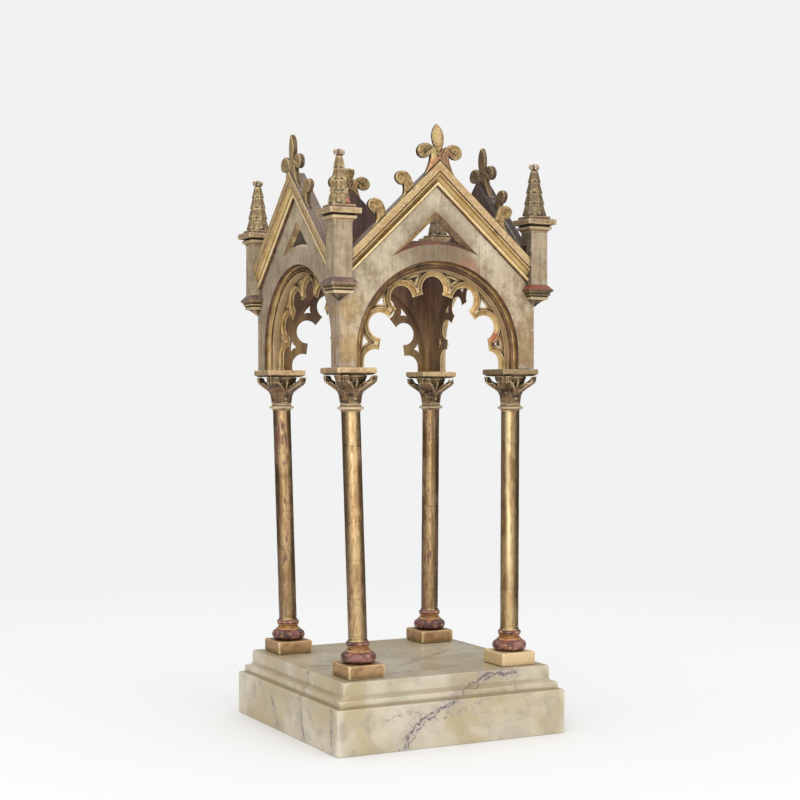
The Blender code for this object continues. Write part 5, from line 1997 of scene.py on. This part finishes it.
# %% [markdown]
# ## Finials
#
# A fleur-de-lis ends each gable: a stem that spreads onto the rakes, a curled petal to either side and a
# pointed, ridged leaf between them. It is a flat carving about 14 mm thick, so the field only needs the
# outline and the half thickness at each place. The petals are slightly dished, with a groove where they
# curl. The back one has lost the tip of its leaf.

# %% The finial's outline
FINIAL_DEPTHS = {"front": -0.0110, "right": 0.0010, "back": -0.0070, "left": -0.0075}
FINIAL_LEANS = {"front": -0.0060}
FINIAL_HALF = 0.0070
LEAF_HALF = 0.0134
LEAF_MIDDLE = 0.0465
LEAF_TAIL = 0.0300
SEAT = 0.0006
SAWN = 0.50


def finial_shape(side, rise):
    """The outline's distance and the half thickness at each place of the flat carving."""
    slope = (side.point - side.foot) / (side.half - POST_HALF)
    square_to_rake = 1.0 / math.hypot(1.0, slope)
    lean = FINIAL_LEANS.get(side.tag, 0.0)

    def shape(u, z):
        near = np.abs(u)
        spread = np.clip((0.006 - z) / 0.046, 0.0, 1.0)
        stem = np.maximum((near - 0.0212 - 0.0200 * spread**1.5) * 0.9, z - 0.0260)
        stem = np.maximum(stem, (SEAT - slope * near - z) * square_to_rake)
        drop = near * 0.10
        petal = np.sqrt(((near - 0.0346) / 1.06) ** 2 + (z - 0.0222 + drop) ** 2) - 0.0152
        arm = bar(near, z, (0.0040, 0.0150), (0.0290, 0.0250), 0.0085)
        petal = union(petal, arm, 0.0030)
        top = rise - LEAF_MIDDLE
        bow = (top**2 + LEAF_HALF**2) / (2 * LEAF_HALF)
        leaf_u = u - lean * np.clip(z / rise, 0.0, 1.0)
        leaf_z = np.where(z < LEAF_MIDDLE, (z - LEAF_MIDDLE) * top / LEAF_TAIL, z - LEAF_MIDDLE)
        leaf = np.sqrt((np.abs(leaf_u) + bow - LEAF_HALF) ** 2 + leaf_z**2) - bow
        leaf = np.maximum(leaf, 0.012 - z)
        ridge = 1.0 - np.abs(leaf_u - 0.0045) / 0.0180
        leaf_half = 0.0046 + 0.0024 * np.clip(-leaf / 0.0030, 0.0, 1.0)
        leaf_half = np.minimum(leaf_half, 0.0034 + 0.0036 * ridge)
        hollow = np.clip(1.0 - disc(near, z, (0.0330, 0.0168), 0.0) / 0.0085, 0.0, 1.0)
        rim = groove(disc(near, z, (0.0338, 0.0178), 0.0092), 0.0012, 0.0018)
        petal_half = 0.0048 + 0.0022 * np.clip(-petal / 0.0050, 0.0, 1.0) ** 0.5 - 0.0028 * hollow - rim
        crease = bar(near, z, (0.0200, 0.0235), (0.0345, 0.0130), 0.0)
        petal_half = petal_half - groove(crease, 0.0022, 0.0014)
        stem_half = 0.0046 + 0.0018 * np.clip(-stem / 0.0040, 0.0, 1.0) ** 0.5
        half = np.where(petal < stem, petal_half, stem_half)
        veins = bar(near, z, (0.0035, 0.0090), (0.0135, 0.0340), 0.0)
        half = half - groove(veins, 0.0020, 0.0013)
        half = np.where(leaf < 0.0008, np.maximum(leaf_half, 0.0030), half)
        return np.minimum(np.minimum(stem, petal), leaf), half

    return shape


def flat_carving(shape, low, high, middle):
    """A sawn outline with a sloping face: the half thickness says how far it stands from a middle depth."""

    def field(u, depth, z):
        outline, half = shape(u, z)
        return common(outline, (np.abs(depth - middle) - half) * 0.85, 0.0022)

    reach = FINIAL_HALF + 0.0010
    bm = carved(field, (low[0], middle - reach, low[1]), (high[0], middle + reach, high[1]), CELL)
    bm.normal_update()
    for face in bm.faces:
        face.material_index = int(abs(face.normal.y) < SAWN)
    return bm


print("thickness of a carving:", 2 * FINIAL_HALF)

# %% Make the finials
finials = []
for side in sides.values():
    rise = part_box(f"finial_{side.tag}")[1].z - side.point
    whole_rise = max(rise, 0.0740)
    shape = finial_shape(side, whole_rise)
    if rise < whole_rise:
        whole = shape

        def shape(u, z, whole=whole, rise=rise):
            outline, half = whole(u, z)
            stump = z - rise + 0.0025 + 0.12 * np.abs(u) + 0.0012 * np.sin(u * 900.0)
            return np.maximum(outline, stump), half

    bm = flat_carving(shape, (-0.0510, -0.0460), (0.0510, whole_rise), FINIAL_DEPTHS[side.tag])
    place = side.matrix @ Matrix.Translation((side.shift, 0.0, side.point))
    finials.append(add_piece(f"fleur_finial_{side.tag}", bm, [carved_gilding, sawn_and_shaded_gilding],
                             [f"finial_{side.tag}"], place, angle=60.0, gain=4.0))
report("finials", finials)

# %% [markdown]
# ## Crockets
#
# Crockets are the leaves that climb a Gothic gable. Each one rises from the rake on a short stem and curls
# over downhill like a cane's handle. Most of the set is lost, and only the surviving seven are made. The
# outline runs through a few points as one smooth line, in a frame that lies on the rake.

# %% Make the crockets
CROCKET_SHARES = {"upper": 0.29, "lower": 0.60}
CROCKET_SHAPE = [
    (0.0015, SEAT), (0.0200, SEAT), (0.0400, SEAT), (0.0480, SEAT + 0.0003),
    (0.0330, 0.0040), (0.0228, 0.0105), (0.0178, 0.0178),
    (0.0218, 0.0224), (0.0238, 0.0302), (0.0222, 0.0380), (0.0170, 0.0434), (0.0100, 0.0448),
    (0.0020, 0.0418), (-0.0050, 0.0340), (-0.0072, 0.0245), (-0.0050, 0.0150), (-0.0015, 0.0070),
]
CURL_CENTRE = (0.0140, 0.0312)


def smooth_loop(points, steps):
    """A closed line through the points, curved by the Catmull-Rom rule."""
    count = len(points)
    loop = []
    for i in range(count):
        a, b, c, d = (Vector(points[(i + k) % count]) for k in (-1, 0, 1, 2))
        for j in range(steps):
            t = j / steps
            spot = 2 * b + (c - a) * t + (2 * a - 5 * b + 4 * c - d) * t**2 + (3 * b - a - 3 * c + d) * t**3
            loop.append(tuple(spot / 2))
    return loop


crocket_line = smooth_loop(CROCKET_SHAPE, 4)


def crocket_shape(a, b):
    outline = np.maximum(outline_distance(a, b, crocket_line), SEAT - b)
    curl = disc(a, b, CURL_CENTRE, 0.0)
    body = 0.0044 + 0.0016 * np.clip(-outline / 0.0040, 0.0, 1.0) ** 0.5
    hollow = groove(np.abs(curl - 0.0062) + np.clip(CURL_CENTRE[1] - b, 0.0, None) * 0.5, 0.0013, 0.0015)
    hollow = hollow + 0.0016 * np.clip(1.0 - curl / 0.0060, 0.0, 1.0)
    return outline, np.maximum(body - hollow, 0.0016)


crockets = []
for node in sorted(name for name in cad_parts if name.startswith("crocket_")):
    _, tag, hand, level = node.split("_")
    side = sides[tag]
    sign = 1 if hand == "right" else -1
    run = side.run(sign)
    slope = (side.point - side.foot) / run
    share = CROCKET_SHARES[level]
    start = Vector((side.shift + sign * share * run, 0.0, side.point - share * run * slope))
    along = Vector((sign, 0.0, -slope)).normalized()
    outward = Vector((sign * slope, 0.0, 1.0)).normalized()
    depthwards = Vector((0.0, 1.0, 0.0))
    tilt = Matrix((along, depthwards, outward)).transposed().to_4x4()
    bm = flat_carving(crocket_shape, (-0.0090, 0.0), (0.0490, 0.0460), FINIAL_DEPTHS[tag])
    place = side.matrix @ Matrix.Translation(start) @ tilt
    crockets.append(add_piece(f"leaf_{node}", bm, [carved_gilding, sawn_and_shaded_gilding], [node], place,
                              angle=60.0, gain=4.0))
report("crockets", crockets)

# %% [markdown]
# ## Pinnacles
#
# A pinnacle stands over each corner: a moulded corbel, a square post that straddles the corner, a cap and a
# spire. They are lofts like the plinth, in a frame at the canopy's corner whose axes look into the canopy.
# Corbel and post are notched where the corner of the boards runs through them.

# %% Profiles of the pinnacles
QUARTER_OF_CORNER = {"front_left": 0, "front_right": 1, "back_right": 2, "back_left": 3}


def corner_matrix(tag):
    signs = CORNERS[tag]
    place = Vector((CANOPY_X + signs[0] * HALF_SIZES["main"], signs[1] * HALF_SIZES["side"], 0.0))
    return Matrix.Translation(place) @ Matrix.Rotation(QUARTER_OF_CORNER[tag] * math.pi / 2, 4, "Z")


CORBEL_QUIRKS = ((0.0192, 0.0222), (0.0256, 0.0302))
CORBEL_SHELF = 0.0344
PINNACLE_EDGE = 0.0012
CAP_QUIRKS = ((0.0132, 0.0153),)
CAP_SHELF = 0.0262


def finish_quirks(bm, quirks, foot, shelf):
    """The narrow grooves of a moulding take the dark gilding as painted shade, and its upper shelf shows the
    clay.
    """
    finish_where(bm, lambda face: any(a < face.calc_center_median().z - foot < b for a, b in quirks), 1)
    finish_where(bm, lambda face: face.calc_center_median().z > shelf and face.normal.z > 0.3, 2)


def corbel_profile(tip, top):
    return [
        (0.0020, tip),
        (0.0060, tip + 0.0050),
        (0.0125, tip + 0.0110),
        *arc((0.0200, tip + 0.0160), (0.0030, 0.0026), 225, 270, 2),
        *arc((0.0195, tip + 0.0180), (0.0022, 0.0022), -40, 50, 3),
        (0.0206, tip + 0.0205),
        *arc((0.0228, tip + 0.0238), (0.0020, 0.0021), -70, 50, 4),
        (0.0232, tip + 0.0262),
        *arc((0.0290, tip + 0.0262), (0.0048, 0.0036), 180, 100, 3),
        *arc((0.0276, tip + 0.0314), (0.0014, 0.0014), -60, 0, 2),
        (0.0290, tip + 0.0328),
        *arc((0.0276, tip + 0.0338), (0.0014, 0.0014), 0, 60, 3),
        (0.0255, tip + 0.0378),
        (POST_HALF + 0.0008, top),
    ]


def cap_profile(low, top):
    return [
        (POST_HALF + 0.0006, low),
        (POST_HALF + 0.0010, low + 0.0022),
        (POST_HALF + 0.0028, low + 0.0046),
        *arc((0.0232, low + 0.0092), (0.0036, 0.0040), -75, 75, 6),
        (0.0234, low + 0.0140),
        (0.0240, low + 0.0149),
        (0.0308, low + 0.0154),
        *arc((0.0318, low + 0.0176), (0.0017, 0.0018), -80, 0, 3),
        (0.0335, low + 0.0215),
        *arc((0.0318, low + 0.0250), (0.0017, 0.0022), 0, 80, 3),
        (0.0262, low + 0.0277),
        (0.0247, low + 0.0286),
        *arc((0.0231, top - 0.0016), (0.0014, 0.0014), 0, 90, 3),
    ]


print("points in a corbel's profile:", len(corbel_profile(0.0, 0.0384)))

# %% Make the corbels, posts and caps
pinnacles = []
for tag in CORNERS:
    matrix = corner_matrix(tag)
    low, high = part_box(f"pinnacle_corbel_{tag}")
    bm = square_loft(corbel_profile(low.z, high.z), PINNACLE_EDGE, notched_square)
    finish_quirks(bm, CORBEL_QUIRKS, low.z, low.z + CORBEL_SHELF)
    pinnacles.append(add_piece(f"moulded_corbel_{tag}", bm, [trim_gilding, sawn_and_shaded_gilding, clay_top],
                               [f"pinnacle_corbel_{tag}"], matrix, 0.0004, gain=5.0))
    low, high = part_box(f"pinnacle_post_{tag}")
    heights = [low.z + (TRACERY_TOP + GAP - low.z) * i / 8 for i in range(9)]
    lower_post = square_loft([(POST_HALF, z) for z in heights], PINNACLE_EDGE, notched_square)
    heights = [TRACERY_TOP + GAP, *(TRACERY_TOP + (high.z - TRACERY_TOP) * i / 4 for i in range(1, 5))]
    upper_post = square_loft([(POST_HALF, z) for z in heights], PINNACLE_EDGE)
    pinnacles.append(add_piece(f"notched_post_{tag}", joined(lower_post, upper_post), [post_paint],
                               [f"pinnacle_post_{tag}"], matrix, slot="painted_wood"))
    low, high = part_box(f"pinnacle_cap_{tag}")
    bm = square_loft(cap_profile(low.z, high.z), PINNACLE_EDGE)
    finish_quirks(bm, CAP_QUIRKS, low.z, low.z + CAP_SHELF)
    pinnacles.append(add_piece(f"moulded_cap_{tag}", bm, [trim_gilding, sawn_and_shaded_gilding, clay_top],
                               [f"pinnacle_cap_{tag}"], matrix, 0.0004, gain=5.0))
report("corbels, posts and caps", pinnacles)

# %% [markdown]
# ## Scaled spires
#
# Each spire is a slim cone covered with four tiers of leaf-shaped scales, each tier hanging over the one
# below, and ends in a small bud of petals. A Geometry Nodes tree sets one carved scale on a ring of points
# for every tier; the tier's radius, height and size follow from the spire's own taper. The scale is a short
# curved tongue, thickest along its middle.

# %% The scale tree
TIERS = 4
SCALES_PER_TIER = 6
SCALE_TILT = 0.22
SCALE_OVERLAP = 1.06
SCALE_STEPS = 8
SPIRE_INPUTS = {"Scale": "Object", "Scales per tier": "Int", "Lowest radius": "Float",
                "Highest radius": "Float", "Lowest edge": "Float", "Tier height": "Float"}


def scale_mesh():
    """One scale, 1 unit high and 1 unit wide, that hangs in front of +X with its tip down."""
    bm = bmesh.new()
    layers = []
    for back in (False, True):
        grid = []
        for i in range(SCALE_STEPS + 1):
            down = i / SCALE_STEPS
            tip = max(0.0, (down - 0.62) / 0.385)
            half = 0.5 * (1.0 - 0.10 * (1 - down)) * math.sqrt(max(0.0, 1.0 - tip**2))
            line = []
            for j in range(SCALE_STEPS + 1):
                across = j / SCALE_STEPS * 2 - 1
                swell = 0.10 * (1 - across**2) + 0.07 * down**2 + 0.05 * max(0.0, 1 - abs(across) * 3.0)
                thick = -0.12 if back else swell
                line.append(bm.verts.new((thick - 0.15 * across**2, across * half, 1.08 * (1.0 - down))))
            grid.append(line)
        layers.append(grid)
    front, rear = layers
    for i in range(SCALE_STEPS):
        for j in range(SCALE_STEPS):
            bm.faces.new((front[i][j], front[i + 1][j], front[i + 1][j + 1], front[i][j + 1]))
            bm.faces.new((rear[i][j], rear[i][j + 1], rear[i + 1][j + 1], rear[i + 1][j]))
    for i in range(SCALE_STEPS):
        bm.faces.new((front[i][0], rear[i][0], rear[i + 1][0], front[i + 1][0]))
        bm.faces.new((front[i][-1], front[i + 1][-1], rear[i + 1][-1], rear[i][-1]))
        bm.faces.new((front[0][i], front[0][i + 1], rear[0][i + 1], rear[0][i]))
        bm.faces.new((front[-1][i], rear[-1][i], rear[-1][i + 1], front[-1][i + 1]))
    bmesh.ops.remove_doubles(bm, verts=bm.verts, dist=1e-4)
    bmesh.ops.dissolve_degenerate(bm, edges=bm.edges, dist=1e-5)
    bmesh.ops.recalc_face_normals(bm, faces=bm.faces)
    return bm


def scale_tree(material):
    group = maker_group("scaled_spire", SPIRE_INPUTS, "Scales")
    tree = Tree(group)
    given = tree.node("NodeGroupInput").outputs
    scale = tree.node("GeometryNodeObjectInfo", inputs={"Object": given["Scale"]}).outputs["Geometry"]
    count = Number(tree, given["Scales per tier"])
    points = tree.node("GeometryNodeMeshLine", inputs={"Count": count * float(TIERS)}).outputs[0]
    index = tree.number("GeometryNodeInputIndex")
    tier = ((index + 0.5) / count).alone("FLOOR")
    angle = (index / count + tier * 0.5) * (2 * math.pi)
    share = tier / (TIERS - 1.0)
    low_radius = Number(tree, given["Lowest radius"])
    radius = low_radius + (Number(tree, given["Highest radius"]) - low_radius) * share
    height = Number(tree, given["Lowest edge"]) + Number(tree, given["Tier height"]) * tier
    spot = {"X": radius * angle.alone("COSINE"), "Y": radius * angle.alone("SINE"), "Z": height}
    spot = tree.node("ShaderNodeCombineXYZ", inputs=spot).outputs[0]
    placed = tree.node("GeometryNodeSetPosition", inputs={"Geometry": points, "Position": spot}).outputs[0]
    turn = tree.node("ShaderNodeCombineXYZ", inputs={"Y": -SCALE_TILT, "Z": angle}).outputs[0]
    width = radius * (2 * math.sin(math.pi / SCALES_PER_TIER) * SCALE_OVERLAP)
    size = tree.node("ShaderNodeCombineXYZ", inputs={"X": width, "Y": width, "Z": given["Tier height"]})
    fixed = {"Points": placed, "Instance": scale, "Rotation": turn, "Scale": size.outputs[0]}
    finish_tree(tree, tree.node("GeometryNodeInstanceOnPoints", inputs=fixed).outputs[0], material)
    return group


spire_scales = scale_tree(spire_gilding)
print("spire inputs:", input_names(spire_scales))

# %% Make the spires
BUD_RISE = 0.0165
LOWEST_EDGE = 0.0008
SPIRE_RADII = (0.0208, 0.0112)


def bud_field(x, y, z):
    """Four round petals that open outwards from a button."""
    far = np.maximum(np.abs(x), np.abs(y))
    near = np.minimum(np.abs(x), np.abs(y))
    petals = np.sqrt((far - 0.0076) ** 2 + near**2 + (0.85 * (z - 0.0066 - 0.25 * far)) ** 2) - 0.0050
    petals = petals + groove(np.sqrt((far - 0.0115) ** 2 + near**2), 0.0016, 0.0018)
    button = ball(x, y, z, (0.0, 0.0, 0.0112), 0.0050)
    neck = np.maximum(np.sqrt(x**2 + y**2) - 0.0048, np.maximum(-z, z - 0.008))
    return union(union(petals, button, 0.0012), neck, 0.0020)


scale_data = bpy.data.meshes.new("scale")
one_scale = scale_mesh()
one_scale.to_mesh(scale_data)
one_scale.free()
scale_guide = bpy.data.objects.new("scale", scale_data)
scene.collection.objects.link(scale_guide)
spires = []
for tag in CORNERS:
    low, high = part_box(f"pinnacle_spire_{tag}")
    shoulder = high.z - low.z - BUD_RISE
    tier_height = (shoulder - LOWEST_EDGE) / TIERS
    core = [(0.0, 0.0), (0.0215, 0.0), (0.0200, 0.0180), (0.0150, 0.0240), (0.0050, shoulder - 0.010),
            (0.0048, shoulder + 0.002), (0.0, shoulder + 0.002)]
    guide = profile_curve(evened(core, 0.02))
    cone = run_tree(lathe, {"Profile": guide, "Points around": 25, "Points along": 24,
                            "Lean X": 0.0, "Lean Y": 0.0})
    bpy.data.objects.remove(guide)
    tiers = run_tree(spire_scales, {
        "Scale": scale_guide, "Scales per tier": SCALES_PER_TIER, "Lowest radius": SPIRE_RADII[0],
        "Highest radius": SPIRE_RADII[1], "Lowest edge": LOWEST_EDGE, "Tier height": tier_height})
    bud = carved(bud_field, (-0.0130, -0.0130, 0.0), (0.0130, 0.0130, BUD_RISE), CELL * 0.8)
    bud.transform(Matrix.Translation((0.0, 0.0, shoulder)))
    for part, finish in ((cone, 0), (tiers, 0), (bud, 1)):
        for face in part.faces:
            face.material_index = finish
    place = corner_matrix(tag) @ Matrix.Translation((0.0, 0.0, low.z))
    spires.append(add_piece(f"scaled_spire_{tag}", joined(cone, tiers, bud), [spire_gilding, bud_gesso],
                            [f"pinnacle_spire_{tag}"], place, angle=45.0))
bpy.data.objects.remove(scale_guide)
report("spires", spires)

# %% [markdown]
